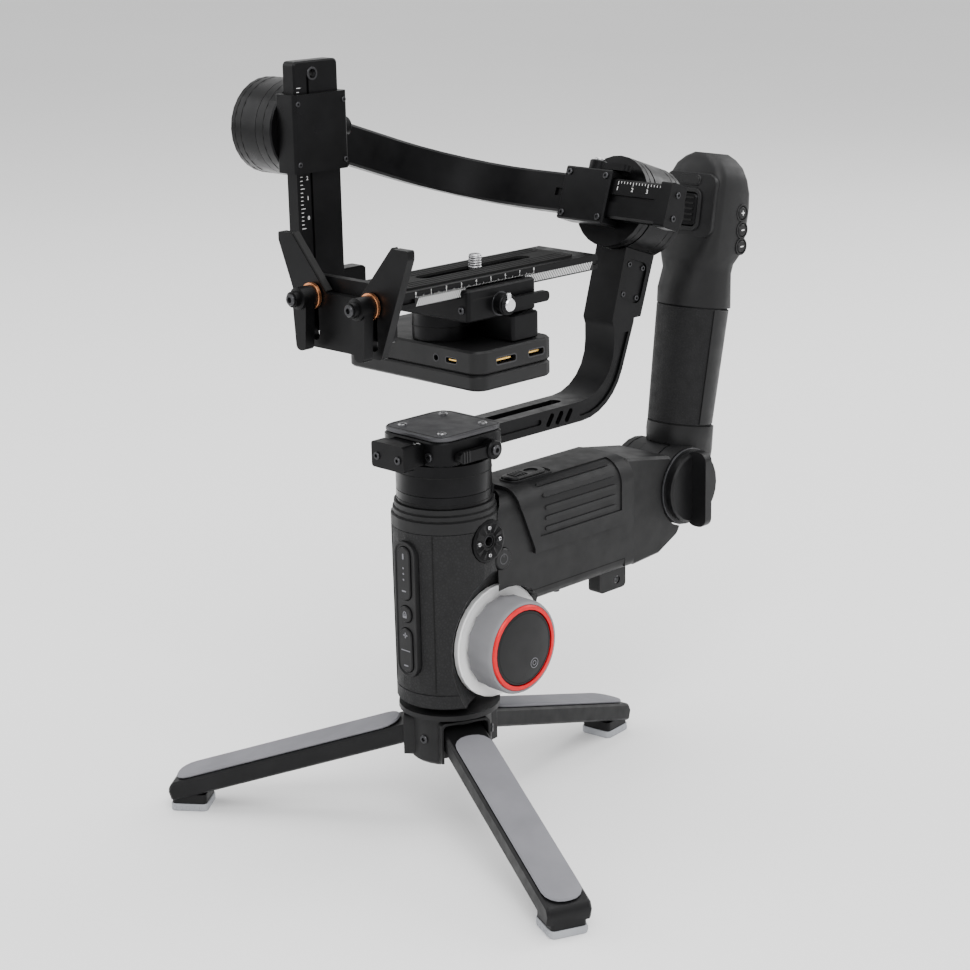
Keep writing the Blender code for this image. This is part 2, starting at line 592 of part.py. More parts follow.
def roll_axis(arm):
    stator = drum(ROLL_RADIUS, 141.3, 166, "Y", steps=28, edge=1.6)
    piece("roll_motor_stator", stator, "black metal", arm, ROLL_FRAME)
    owner = body("roll_axle", arm, ROLL_FRAME @ Vector((0, 137, 0)), ROLL_FRAME)
    rotor = drum(ROLL_RADIUS, BAR_REAR + 2 * GAP, 140.9, "Y", steps=28, edge=0.7)
    piece("roll_motor_rotor", rotor, "black metal", owner, ROLL_FRAME)
    clamp = piece("roll_clamp", block((-24, 8), (BAR_FRONT - 2.4, BAR_REAR + GAP), (-14, 14)), "black metal",
                  owner, ROLL_FRAME, bevel=0.8)
    gap = ARM_HALF + GAP
    cut(clamp, block((-40, 40), (BAR_FRONT - GAP, BAR_REAR + 5), (-gap, gap)), ROLL_FRAME)
    pin = body("roll_lever_pin", owner, ROLL_FRAME @ Vector((-8, 126.5, 14)), ROLL_FRAME)
    lever = piece("roll_clamp_lever", drum(4.9, 14.3, 19, "Z", (-8, 126.5), 24, 0.6), "black metal", pin,
                  ROLL_FRAME)
    join(lever, block((-8, 14), (123.7, 129.3), (14.8, 18), 2.4), ROLL_FRAME)
    slide = body("roll_arm_slide", owner, ROLL_FRAME @ Vector((0, 127.3, 0)), ROLL_FRAME)
    outline = band([(ROLL_BAR_END, BAR_REAR), (SIDE_ARM_OUT, BAR_REAR, 60.3), (SIDE_ARM_OUT, 14),
                    (SIDE_ARM_IN, 14), (SIDE_ARM_IN, BAR_FRONT, 49.7), (ROLL_BAR_END, BAR_FRONT)])
    arm = piece("roll_arm", extrusion(outline, -ARM_HALF, ARM_HALF), "black metal", slide, ROLL_FRAME,
                bevel=1.2)
    join(arm, block((ROLL_BAR_END - 1, 48), (BAR_FRONT - 1, BAR_REAR + 1), (-11.6, 11.6), 1.5, "X"), ROLL_FRAME)
    cut(arm, drum(TILT_RADIUS + 0.6, -150, -50, "X", steps=28), ROLL_FRAME)
    cut(arm, block((-30, 38), (BAR_FRONT - 4, BAR_FRONT + 1.2), (-2, 2), 0), ROLL_FRAME)
    cut(arm, block((-30, 38), (BAR_FRONT + 3.6, BAR_FRONT + 7), (-20, -ARM_HALF + 1.6), 0), ROLL_FRAME)
    tilt_axis(slide)


def tilt_axis(arm):
    centre = (0, AXES_HEIGHT)
    radius = TILT_RADIUS
    cap = -129.0
    profile = [(0, cap), (14, cap), (21, cap + 1.4), (radius, cap + 5), (radius, -105), (0, -105)]
    piece("tilt_motor_housing", turned(profile, "X", centre, 28), "black metal", arm)
    owner = body("tilt_axle", arm, (-93, *centre))
    x_low, x_high = TILT_BAR_X
    y_low, y_high = TILT_BAR_Y
    rotor = piece("tilt_motor_rotor", drum(radius, -104.7, x_low - 2, "X", centre, 28, 0.7), "black metal", owner)
    join(rotor, block((x_low - 3, x_high + 3), (y_low - 3, y_high + 3), (328, 367), 2.0, "Z"))
    bar_room = block((x_low - GAP, x_high + GAP), (y_low - GAP, y_high + GAP), (290, 400))
    cut(rotor, bar_room)
    knob = (-86.5, AXES_HEIGHT)
    near = y_high + 3 + GAP
    pin = body("tilt_lever_pin", owner, (knob[0], near, knob[1]))
    lever = piece("tilt_clamp_lever", drum(4.9, near, near + 5, "Y", knob, 24, 0.6), "black metal", pin)
    join(lever, block((-89.2, -83.8), (near + 0.6, near + 3.8), (327, AXES_HEIGHT), 2.4, "Y"))
    slide = body("tilt_bar_slide", owner, (-86.5, -2.5, AXES_HEIGHT))
    bar = piece("tilt_bar", block((x_low, x_high), (y_low, y_high), (268, 383), 2.5, "X"), "black metal", slide,
                bevel=0.8)
    foot_end = BOX_X[0] - GAP
    foot = band([(x_low, 275), (x_low, 236.5, 14), (foot_end, 236.5), (foot_end, BOX_TOP - 2),
                 (x_high, BOX_TOP - 2, 9), (x_high, 275)])
    join(bar, extrusion(foot, 3.5, 26, "Y"))
    join(bar, block((x_low + 0.5, x_high - 0.5), (3, 26), (262, 276), 2.0, "X"))
    cut(bar, block((x_high - 1.0, x_high + 3), (y_low + 8, y_low + 9.5), (284, 376)))
    cut(bar, drum(2.4, -100, -70, "X", (-5, 376.5), 20))
    camera_base(slide)


def camera_base(slide):
    box_lower = block(BOX_X, BOX_Y, (BOX_BASE, BOX_SEAM), 7)
    piece("base_box_lower", box_lower, "soft black", slide, bevel=1.0)
    upper = piece("base_box_upper", block(BOX_X, BOX_Y, (BOX_SEAM + GAP, BOX_TOP), 7), "black plastic", slide,
                  bevel=1.0)
    front, right = BOX_Y[0], BOX_X[1]
    ports_z = 243.9
    cut(upper, drum(1.9, front - 3, front + 9, "Y", (0.9, ports_z), 20))
    cut(upper, block((7.5, 15.3), (front - 3, front + 5), (ports_z - 1.5, ports_z + 1.5), 1.2, "Y"))
    for middle, half in ((15.2, 7.2), (36.3, 5.8)):
        cut(upper, block((right - 7, right + 3), (middle - half, middle + half), (ports_z - 2, ports_z + 2),
                         1.4, "X"))
    base = 264.0
    riser = piece("slide_block", block((-25, 27), (23, 42), (BOX_TOP + GAP, base - GAP), 2.0), "black metal",
                  slide, bevel=0.8)
    join(riser, drum(15, BOX_TOP + GAP, base - GAP, "Z", (-12, 13)))
    floor = PLATE_BASE - GAP
    seat = piece("qr_base", block((-25, 25), (-5, 42), (base, 279.6), 2.0), "black metal", slide, bevel=0.8)
    room = PLATE_HALF + GAP
    cut(seat, block((-room, room), (-20, 60), (floor, 290)))
    knob = (17, 270.5)
    pin = body("qr_lever_pin", slide, (25.3, *knob))
    lever = piece("qr_lever", drum(5.2, 25.3, 30.2, "X", knob, 24, 0.8), "black metal", pin)
    join(lever, block((26, 29.4), (knob[0], 47), (knob[1] - 2.6, knob[1] + 2.6), 2.2, "X"))
    quick_plate(slide)


def quick_plate(owner):
    """The camera plate with its bent-up front, the camera screw, and the lens fork with its two levers."""
    slide = body("qr_plate_slide", owner, (0, 20, PLATE_BASE))
    plate = piece("qr_plate", block((-PLATE_HALF, PLATE_HALF), (PLATE_FRONT - 1, PLATE_REAR),
                                    (PLATE_BASE, PLATE_TOP), 1.5, "X"), "black metal", slide)
    join(plate, block((-27, 27), (FORK_REAR + GAP, PLATE_FRONT), (263, 290), 3, "Y"))
    cut(plate, block((-3.4, 3.4), (-12, 60), (PLATE_BASE - 5, PLATE_TOP + 5), 3.3))
    cut(plate, block((-8.6, 8.6), (-17, 65), (PLATE_BASE - 5, PLATE_BASE + 4), 8.4))
    for sign in (-1, 1):
        wall = sorted((sign * (PLATE_HALF - 1.5), sign * 30))
        cut(plate, block(wall, (-44, 120), (PLATE_BASE + 2.4, PLATE_BASE + 4.6)))
    top = PLATE_TOP + 7.4
    screw = [(0, PLATE_BASE + 0.6), (7.8, PLATE_BASE + 0.6), (7.8, PLATE_BASE + 3.7), (3.1, PLATE_BASE + 3.7),
             (3.1, top - 0.6), (2.5, top), (0, top)]
    screw_slide = body("camera_screw_slide", slide, (0, 25, PLATE_BASE))
    piece("camera_screw", turned(screw, "Z", (0, 25), 16), "silver metal", screw_slide)
    fork_slide = body("lens_fork_slide", slide, (0, (FORK_FRONT + FORK_REAR) / 2, 270))
    right = [(0, 256), (25, 256, 2), (45, 305, 3), (45, 309, 1), (35, 309, 1), (12, 283, 3), (0, 283)]
    half_fork = right[1:-1]
    outline = rounded(half_fork + [(-x, z, *rest) for x, z, *rest in reversed(half_fork)], 3)
    fork = piece("lens_fork", extrusion(outline, FORK_FRONT, FORK_REAR, "Y"), "black metal", fork_slide)
    for side, sign in (("left", -1), ("right", 1)):
        x = sign * FORK_LEVERS_X
        cut(fork, block((x - 2.7, x + 2.7), (FORK_FRONT - 3, FORK_REAR + 3), (259.5, 284.5), 2.6, "Y"))
        pin = body(f"fork_lever_{side}_pin", slide, (x, FORK_FRONT, FORK_LEVERS_Z))
        profile = [(0, -76), (3.8, -76), (3.8, -73), (5.4, -72.6), (5.4, FORK_FRONT - GAP),
                   (2.3, FORK_FRONT - GAP), (2.3, FORK_REAR), (0, FORK_REAR)]
        lever = piece(f"fork_lever_{side}", turned(profile, "Y", (x, FORK_LEVERS_Z), 16), "black metal", pin)
        paddle = rounded([(x - 5, FORK_LEVERS_Z), (x - 3.2, 256, 2.6), (x + 3.2, 256, 2.6),
                          (x + 5, FORK_LEVERS_Z)], 3)
        join(lever, extrusion(paddle, -71.5, -66, "Y"))


def stand_on_origin():
    """Moves the root so that the middle of the object's footprint is the origin."""
    bpy.context.view_layer.update()
    graph = bpy.context.evaluated_depsgraph_get()
    corners = []
    for made in bpy.context.scene.objects:
        if made.type == "MESH" and not made.hide_render:
            evaluated = made.evaluated_get(graph)
            corners += [made.matrix_world @ vertex.co for vertex in evaluated.data.vertices]
    low = [min(corner[axis] for corner in corners) for axis in range(3)]
    high = [max(corner[axis] for corner in corners) for axis in range(3)]
    root = bpy.data.objects["root"]
    root.location = (-(low[0] + high[0]) / 2, -(low[1] + high[1]) / 2, -low[2])
    bpy.context.view_layer.update()


def main():
    clear_scene()
    tripod()
    grip()
    focus_wheel()
    battery_body()
    rear_hinge()
    rear_handle()
    pan_axis()
    stand_on_origin()


main()
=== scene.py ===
"""Looks of the gimbal stabilizer: materials, small pieces, floor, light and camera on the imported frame.

Lengths are millimetres in the design frame, whose z axis is the grip's own axis; ORIGIN and MM place them.
"""
import math

import bmesh
import bpy
from mathutils import Matrix, Vector


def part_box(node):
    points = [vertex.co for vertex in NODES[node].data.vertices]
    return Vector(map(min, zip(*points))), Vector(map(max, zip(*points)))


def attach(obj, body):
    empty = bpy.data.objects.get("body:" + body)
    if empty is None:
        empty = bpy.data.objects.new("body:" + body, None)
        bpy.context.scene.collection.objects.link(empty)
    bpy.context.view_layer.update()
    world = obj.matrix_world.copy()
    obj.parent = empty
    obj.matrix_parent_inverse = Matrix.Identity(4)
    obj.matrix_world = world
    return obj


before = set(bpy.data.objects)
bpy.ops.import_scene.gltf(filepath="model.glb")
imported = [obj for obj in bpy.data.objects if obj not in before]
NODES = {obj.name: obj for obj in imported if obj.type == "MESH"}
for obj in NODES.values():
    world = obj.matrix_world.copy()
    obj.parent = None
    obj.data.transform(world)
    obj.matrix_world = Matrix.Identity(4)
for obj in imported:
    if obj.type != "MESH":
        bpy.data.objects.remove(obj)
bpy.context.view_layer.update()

MM = 0.001


def box_mm(node):
    """A node's lowest and highest corners in the design frame, in millimetres."""
    low, high = (Vector(corner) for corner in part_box(node))
    return (low - ORIGIN) / MM, (high - ORIGIN) / MM


stator_low, stator_high = (Vector(corner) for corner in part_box("pan_motor_stator"))
ORIGIN = Vector(((stator_low.x + stator_high.x) / 2, (stator_low.y + stator_high.y) / 2, 0))
WORLD = Matrix.Translation(ORIGIN) @ Matrix.Scale(MM, 4)

tilt_low, tilt_high = box_mm("tilt_motor_housing")
AXES_HEIGHT = (tilt_low.z + tilt_high.z) / 2
ROLL_LEAN, HANDLE_LEAN = 19.0, 9.6
ROLL = Matrix.Translation((0, 0, AXES_HEIGHT)) @ Matrix.Rotation(math.radians(-ROLL_LEAN), 4, "X")
HANDLE = Matrix.Translation((0, 183.4, 170)) @ Matrix.Rotation(math.radians(-HANDLE_LEAN), 4, "X")
HERE = Matrix()


# ---------------------------------------------------------------- materials

class Surface:
    """A Principled material on object coordinates, with short calls for its textures."""

    def __init__(self, name, roughness, metallic=0.0):
        self.made = bpy.data.materials.new(name)
        self.made.use_nodes = True
        self.nodes, self.links = self.made.node_tree.nodes, self.made.node_tree.links
        self.shader = self.nodes["Principled BSDF"]
        self.shader.inputs["Metallic"].default_value = metallic
        self.shader.inputs["Roughness"].default_value = roughness
        self.shader.inputs["Specular IOR Level"].default_value = 0.24
        self.place = self.nodes.new("ShaderNodeTexCoord").outputs["Object"]
        self.height = None

    def stretched(self, scale):
        mapping = self.nodes.new("ShaderNodeMapping")
        mapping.inputs["Scale"].default_value = scale
        self.links.new(self.place, mapping.inputs["Vector"])
        return mapping.outputs["Vector"]

    def noise(self, scale, detail=3.0, place=None):
        node = self.nodes.new("ShaderNodeTexNoise")
        node.inputs["Scale"].default_value = scale
        node.inputs["Detail"].default_value = detail
        self.links.new(place or self.place, node.inputs["Vector"])
        return node.outputs["Fac"]

    def cells(self, scale, feature="F1"):
        node = self.nodes.new("ShaderNodeTexVoronoi")
        node.feature = feature
        node.inputs["Scale"].default_value = scale
        self.links.new(self.place, node.inputs["Vector"])
        return node.outputs["Distance"]

    def waves(self, scale, direction="X"):
        node = self.nodes.new("ShaderNodeTexWave")
        node.bands_direction = direction
        node.inputs["Scale"].default_value = scale
        self.links.new(self.place, node.inputs["Vector"])
        return node.outputs["Fac"]

    def mapped(self, value, low, high, start=0.0, end=1.0):
        node = self.nodes.new("ShaderNodeMapRange")
        for socket, number in (("From Min", start), ("From Max", end), ("To Min", low), ("To Max", high)):
            node.inputs[socket].default_value = number
        self.links.new(value, node.inputs["Value"])
        return node.outputs["Result"]

    def colour(self, value, dark, light, start=0.3, end=0.7):
        ramp = self.nodes.new("ShaderNodeValToRGB")
        ramp.color_ramp.elements[0].position, ramp.color_ramp.elements[1].position = start, end
        ramp.color_ramp.elements[0].color = (*dark, 1)
        ramp.color_ramp.elements[1].color = (*light, 1)
        self.links.new(value, ramp.inputs["Fac"])
        self.links.new(ramp.outputs["Color"], self.shader.inputs["Base Color"])

    def rough(self, value, low, high):
        self.links.new(self.mapped(value, low, high, 0.25, 0.75), self.shader.inputs["Roughness"])

    def bump(self, value, strength, depth=0.1):
        node = self.nodes.new("ShaderNodeBump")
        node.inputs["Strength"].default_value = strength
        node.inputs["Distance"].default_value = depth * MM
        self.links.new(value, node.inputs["Height"])
        if self.height:
            self.links.new(self.height, node.inputs["Normal"])
        self.height = node.outputs["Normal"]
        self.links.new(self.height, self.shader.inputs["Normal"])


def shades(colour, spread):
    return [channel * (1 - spread) for channel in colour], [channel * (1 + spread) for channel in colour]


def moulded(name, colour, roughness=0.5, grain=2600):
    """Injection-moulded plastic: spark-eroded grain, faint flow blotches and handling sheen."""
    look = Surface(name, roughness)
    look.colour(look.noise(55, 4), *shades(colour, 0.16))
    look.rough(look.noise(130, 3), roughness - 0.07, roughness + 0.08)
    look.bump(look.noise(grain, 2), 0.35, 0.06)
    look.bump(look.noise(240, 2), 0.06, 0.2)
    return look.made


def anodised(name, colour, roughness=0.38, metallic=0.65, brush=(30, 900, 900)):
    """Bead-blasted and anodised aluminium, with a faint machining direction and rubbed patches."""
    look = Surface(name, roughness, metallic)
    look.colour(look.noise(70, 5), *shades(colour, 0.2))
    look.rough(look.noise(160, 4), roughness - 0.08, roughness + 0.1)
    look.bump(look.noise(3200, 2), 0.22, 0.04)
    look.bump(look.noise(1, 3, look.stretched(brush)), 0.05, 0.05)
    return look.made


def leathered(name, colour, roughness=0.6, cell=620):
    """Pebbled skin of a soft-touch grip: irregular grains, with painted shade darkening the creases between
    them.
    """
    look = Surface(name, roughness)
    creases_and_painted_shade = look.cells(cell, "DISTANCE_TO_EDGE")
    # painted shade: the base colour is darkened in the creases between the grains, where shade falls; the
    # same crease mask also drives the bump that raises the grains
    look.colour(creases_and_painted_shade, *shades(colour, 0.3), 0.02, 0.3)
    look.rough(look.noise(180, 3), roughness - 0.08, roughness + 0.08)
    look.bump(look.mapped(creases_and_painted_shade, 0, 1, 0.0, 0.25), 0.55, 0.16)
    look.bump(look.noise(1900, 2), 0.2, 0.06)
    return look.made


def rubbered(name, colour, roughness=0.8):
    """Grey silicone rubber: fine stipple, pale bloom and rubbed patches."""
    look = Surface(name, roughness)
    look.colour(look.noise(48, 6), *shades(colour, 0.09))
    look.rough(look.noise(90, 4), roughness - 0.09, roughness + 0.06)
    look.bump(look.cells(2300), 0.3, 0.05)
    look.bump(look.noise(700, 3), 0.12, 0.08)
    return look.made


def polished(name, colour, roughness=0.22, metallic=1.0):
    """Turned or plated metal: circular tool marks, small scratches and a slightly uneven gloss."""
    look = Surface(name, roughness, metallic)
    look.colour(look.noise(240, 4), *shades(colour, 0.08))
    look.rough(look.noise(420, 4), roughness - 0.06, roughness + 0.12)
    look.bump(look.noise(1, 4, look.stretched((3000, 160, 160))), 0.08, 0.03)
    return look.made


def glossy(name, colour, roughness=0.28):
    """Smooth moulded plastic with a faint orange-peel skin."""
    look = Surface(name, roughness)
    look.colour(look.noise(40, 3), *shades(colour, 0.03))
    look.rough(look.noise(110, 3), roughness - 0.05, roughness + 0.07)
    look.bump(look.noise(420, 1), 0.05, 0.08)
    return look.made


def wrapped(name, colour):
    """Shrink-wrapped battery sleeve: smooth film with fine wrinkles at its ends."""
    look = Surface(name, 0.35)
    look.colour(look.noise(90, 3), *shades(colour, 0.12))
    look.rough(look.noise(200, 3), 0.28, 0.45)
    look.bump(look.waves(160, "Y"), 0.05, 0.05)
    return look.made


def circuit(name):
    """Solder mask over copper tracks."""
    look = Surface(name, 0.4)
    tracks = look.cells(260, "DISTANCE_TO_EDGE")
    look.colour(tracks, (0.01, 0.09, 0.04), (0.03, 0.2, 0.09), 0.02, 0.08)
    look.rough(look.noise(300, 2), 0.3, 0.5)
    look.bump(tracks, 0.2, 0.05)
    return look.made


BLACK, CHARCOAL, DEEP = (0.0055, 0.0055, 0.006), (0.008, 0.008, 0.0085), (0.0025, 0.0025, 0.0025)
LOOKS = {
    "shell": moulded("shell_plastic", (0.0068, 0.0068, 0.0072)),
    "smooth": moulded("button_plastic", BLACK, 0.42, 3600),
    "grip": leathered("grip_leather", CHARCOAL),
    "sleeve": leathered("handle_leather", BLACK, 0.66, 780),
    "metal": anodised("black_anodised", BLACK),
    "motor": anodised("motor_anodised", CHARCOAL, 0.33, 0.75, (900, 900, 25)),
    "plate": anodised("plate_anodised", (0.06, 0.06, 0.064), 0.42, 0.5, (25, 900, 900)),
    "leg": anodised("leg_paint", (0.007, 0.007, 0.0075), 0.46, 0.3),
    "pad": rubbered("pad_rubber", (0.17, 0.17, 0.185)),
    "foot": rubbered("foot_rubber", (0.32, 0.33, 0.35), 0.7),
    "wheel": rubbered("wheel_rubber", (0.2, 0.2, 0.21), 0.6),
    "black_rubber": rubbered("black_rubber", (0.007, 0.007, 0.007), 0.85),
    "white": glossy("white_plastic", (0.93, 0.93, 0.93)),
    "red": polished("red_anodised", (0.62, 0.004, 0.012), 0.34, 0.25),
    "silver": polished("silver_metal", (0.66, 0.66, 0.67), 0.24),
    "steel": polished("screw_steel", (0.45, 0.45, 0.46), 0.3),
    "dark_steel": polished("dark_screw", (0.05, 0.05, 0.053), 0.32, 0.9),
    "copper": polished("copper_ring", (0.72, 0.3, 0.14), 0.28),
    "gold": polished("gold_contact", (0.8, 0.52, 0.16), 0.25),
    "gap": moulded("seam_shadow", DEEP, 0.75),
    "ink": glossy("white_ink", (0.72, 0.72, 0.72), 0.5),
    "cell": wrapped("cell_wrap", (0.05, 0.2, 0.42)),
    "board": circuit("board_mask"),
}




# ---------------------------------------------------------------- shapes

def across(u, v, along, axis):
    """The point at u, v in the plane across an axis, and at along on it."""
    return Vector({"X": (along, u, v), "Y": (u, along, v), "Z": (u, v, along)}[axis])


def rounded(corners, steps=5):
    """An outline whose corners (u, v, radius) are arcs. A corner without a radius stays sharp."""
    outline = []
    for index, corner in enumerate(corners):
        point = Vector(corner[:2])
        radius = corner[2] if len(corner) > 2 else 0.0
        if radius == 0:
            outline.append(tuple(point))
            continue
        before = (Vector(corners[index - 1][:2]) - point).normalized()
        after = (Vector(corners[(index + 1) % len(corners)][:2]) - point).normalized()
        half = math.acos(max(-1.0, min(1.0, before.dot(after)))) / 2
        centre = point + (before + after).normalized() * radius / math.sin(half)
        start = point + before * radius / math.tan(half) - centre
        end = point + after * radius / math.tan(half) - centre
        turn = start.angle_signed(end)
        for step in range(steps + 1):
            arm = start.copy()
            arm.rotate(Matrix.Rotation(-turn * step / steps, 2))
            outline.append(tuple(centre + arm))
    return outline


def rectangle(u_low, u_high, v_low, v_high, radius=0.0, steps=4):
    corners = ((u_low, v_low), (u_high, v_low), (u_high, v_high), (u_low, v_high))
    return rounded([(u, v, radius) for u, v in corners], steps)


def ring_of_faces(mesh, rings, closed):
    """Joins rings of vertices into a skin; a ring of one vertex is a pole."""
    pairs = list(zip(rings, rings[1:])) + ([(rings[-1], rings[0])] if closed else [])
    for near, far in pairs:
        count = max(len(near), len(far))
        for step in range(count):
            after = (step + 1) % count
            corners = [near[step % len(near)], near[after % len(near)]]
            corners += [far[after % len(far)], far[step % len(far)]]
            mesh.faces.new(list(dict.fromkeys(corners)))


def add_turned(mesh, profile, axis, centre, steps=40, ripple=None):
    """Adds a solid of revolution from points (radius, along); a profile off the axis makes a ring."""
    rings = []
    for radius, along in profile:
        ring = []
        for step in range(steps if radius else 1):
            angle = 2 * math.pi * step / steps
            reach = ripple(radius, along, angle) if ripple else radius
            u, v = centre[0] + reach * math.cos(angle), centre[1] + reach * math.sin(angle)
            ring.append(mesh.verts.new(across(u, v, along, axis)))
        rings.append(ring)
    ring_of_faces(mesh, rings, bool(profile[0][0]))


def add_slab(mesh, outline, low, high, axis, edge=0.0):
    """Adds an extruded outline. edge is the width of the chamfer round its far face."""
    middle = Vector((sum(u for u, _ in outline), sum(v for _, v in outline))) / len(outline)
    far = high - math.copysign(edge, high - low)
    levels = [(low, 0.0), (far, 0.0)] + ([(high, edge)] if edge else [])
    rings = []
    for along, inset in levels:
        ring = []
        for u, v in outline:
            point = Vector((u, v))
            if inset:
                point += (middle - point).normalized() * inset
            ring.append(mesh.verts.new(across(point.x, point.y, along, axis)))
        rings.append(ring)
    ring_of_faces(mesh, rings, False)
    mesh.faces.new(rings[0][::-1])
    mesh.faces.new(rings[-1])


def add_frame(mesh, outer, inner, low, high, axis):
    """Adds a flat frame between two outlines with as many points each."""
    rings = []
    for outline, along in ((outer, low), (outer, high), (inner, high), (inner, low)):
        rings.append([mesh.verts.new(across(u, v, along, axis)) for u, v in outline])
    ring_of_faces(mesh, rings, True)


def add_screw(mesh, centre, axis, face, radius, out=1.0):
    """Adds a socket screw: a rounded head on face, with a six-sided hollow."""
    sides = 6
    high = face + out * 0.55 * radius
    socket = 0.52 * radius
    profile = [(0, face), (radius, face), (radius, high - out * 0.16 * radius), (0.86 * radius, high)]
    profile += [(socket, high), (socket * 0.96, face + out * 0.12 * radius),
                (0, face + out * 0.12 * radius)]

    def hollow(reach, along, angle):
        if reach > 0.6 * radius:
            return reach
        swing = angle % (2 * math.pi / sides) - math.pi / sides
        return reach * math.cos(math.pi / sides) / math.cos(swing)

    add_turned(mesh, profile, axis, centre, 4 * sides, hollow)


def thread_ridges(mesh, centre, axis, low, high, radius, pitch, depth):
    """Adds the ridges of a screw thread as a stack of thin bevelled rings."""
    for turn in range(int((high - low) / pitch)):
        base = low + turn * pitch
        profile = [(radius, base), (radius + depth, base + pitch * 0.45), (radius, base + pitch * 0.9)]
        add_turned(mesh, [(radius - 0.2, base), *profile, (radius - 0.2, base + pitch * 0.9)], axis,
                   centre, 24)


def finish_piece(name, mesh, look, body, space=HERE, bevel=0.0):
    """Turns a mesh into a piece that rides on a body, with its material."""
    bmesh.ops.remove_doubles(mesh, verts=mesh.verts, dist=1e-5)
    bmesh.ops.recalc_face_normals(mesh, faces=mesh.faces)
    mesh.transform(WORLD @ space)
    data = bpy.data.meshes.new(name)
    mesh.to_mesh(data)
    mesh.free()
    data.shade_smooth()
    data.set_sharp_from_angle(angle=math.radians(35))
    data.materials.append(LOOKS[look])
    made = bpy.data.objects.new(name, data)
    bpy.context.scene.collection.objects.link(made)
    if bevel:
        edge = made.modifiers.new("edge", "BEVEL")
        edge.width = bevel * MM
        edge.segments = 2
        edge.limit_method = "ANGLE"
        edge.angle_limit = math.radians(40)
    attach(made, body)
    return made


def piece(name, look, body, draw, space=HERE, bevel=0.0):
    """Makes a piece from draw, a function that adds its shapes to the mesh."""
    mesh = bmesh.new()
    draw(mesh)
    return finish_piece(name, mesh, look, body, space, bevel)


def ring_piece(name, look, body, rings, axis, centre, space=HERE, steps=56):
    """Rings round an axis, each given as the two radii and the two places of its section."""
    def draw(mesh):
        for inner, outer, low, high in rings:
            edge = 0.12 * min(outer - inner, high - low)
            profile = [(inner, low), (outer - edge, low), (outer, low + edge), (outer, high - edge)]
            add_turned(mesh, [*profile, (outer - edge, high), (inner, high)], axis, centre, steps)
    return piece(name, look, body, draw, space)


def digits(name, text, size, place, right, up, body, space=HERE):
    """A short run of raised figures, drawn with its baseline at place and reading along right."""
    data = bpy.data.curves.new(name, "FONT")
    data.body = text
    data.size = size * MM
    data.extrude = 0.05 * MM
    data.align_x, data.align_y = "CENTER", "CENTER"
    data.resolution_u = 3
    data.materials.append(LOOKS["ink"])
    made = bpy.data.objects.new(name, data)
    bpy.context.scene.collection.objects.link(made)
    right, up = Vector(right).normalized(), Vector(up).normalized()
    axes = Matrix((right, up, right.cross(up))).transposed().to_4x4()
    made.matrix_world = Matrix.Translation(WORLD @ (space @ Vector(place))) @ space.to_3x3().to_4x4() @ axes
    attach(made, body)
    return made


def dress(look, *nodes):
    """Gives carried-over nodes a material."""
    for node in nodes:
        data = NODES[node].data
        data.materials.clear()
        data.materials.append(LOOKS[look])


def dress_nodes():
    dress("shell", "tripod_hub", "grip_collar", "body_shell", "battery_door", "hinge_neck", "handle_shell",
          "base_box_upper")
    dress("smooth", "control_frame", "mode_button", "lock_button", "zoom_rocker", "power_button",
          "door_latch",
          "wheel_face", "hinge_knob", "pan_arm_rear_cover", "base_box_lower", "handle_button_1",
          "handle_button_2", "handle_button_3")
    dress("grip", "grip_sleeve")
    dress("sleeve", "handle_grip")
    dress("motor", "pan_motor_stator", "pan_motor_rotor", "roll_motor_stator", "roll_motor_rotor",
          "tilt_motor_housing", "tilt_motor_rotor")
    dress("metal", "pan_clamp_block", "pan_clamp_lever", "pan_arm", "roll_clamp", "roll_clamp_lever",
          "roll_arm", "tilt_clamp_lever", "tilt_bar", "slide_block", "qr_base", "qr_plate", "lens_fork",
          "rosette_mount", "fork_lever_left", "fork_lever_right", "handle_trigger", "qr_lever")
    dress("plate", "pan_clamp_plate")
    dress("leg", "tripod_leg_front", "tripod_leg_left", "tripod_leg_rear")
    dress("pad", "leg_pad_front", "leg_pad_left", "leg_pad_rear")
    dress("wheel", "wheel_rubber_ring")
    dress("white", "wheel_base")
    dress("red", "wheel_red_ring")
    dress("steel", "camera_screw")
    dress("cell", "battery_cell_1", "battery_cell_2", "battery_cell_3")
    dress("board", "main_board")


# ---------------------------------------------------------------- tripod and grip

LEG_AZIMUTHS = {"front": -22.9, "left": -142.9, "rear": 97.1}
LEG_REACH = 150.2


def turned_about(axis, degrees, place=(0, 0, 0)):
    return Matrix.Translation(place) @ Matrix.Rotation(math.radians(degrees), 4, axis)


def tripod_pieces():
    for side, azimuth in LEG_AZIMUTHS.items():
        turn = turned_about("Z", azimuth)
        arch = [(-13.4, 38.5), (-13.4, 60.2, 3), (13.4, 60.2, 3), (13.4, 38.5), (11.9, 38.5),
                (11.9, 58.6, 2), (-11.9, 58.6, 2), (-11.9, 38.5)]
        piece(f"hub_arch_{side}", "shell", "grip",
              lambda mesh: add_slab(mesh, rounded(arch, 4), 16, 22.2, "X"), turn, 0.4)

        def shoe(mesh):
            near, far = LEG_REACH - 21, LEG_REACH - 2.5
            outer = rectangle(near - 0.6, far + 0.6, -9.6, 9.6, 2.6)
            inner = rectangle(near + 0.4, far - 0.4, -8.6, 8.6, 1.6)
            add_frame(mesh, outer, inner, 0.1, 3.9, "Z")
            for rib in range(5):
                place = near + 2.4 + 3.4 * rib
                add_slab(mesh, rectangle(place, place + 1.4, -10.0, 10.0, 0.5, 2), 0.6, 2.8, "Z")

        piece(f"foot_rubber_{side}", "foot", f"leg_{side}", shoe, turn, 0.3)
        between = turned_about("Z", azimuth + 60)
        piece(f"hub_screw_{side}", "dark_steel", "grip",
              lambda mesh: add_screw(mesh, (0, 49), "X", 20.9, 2.3), between)


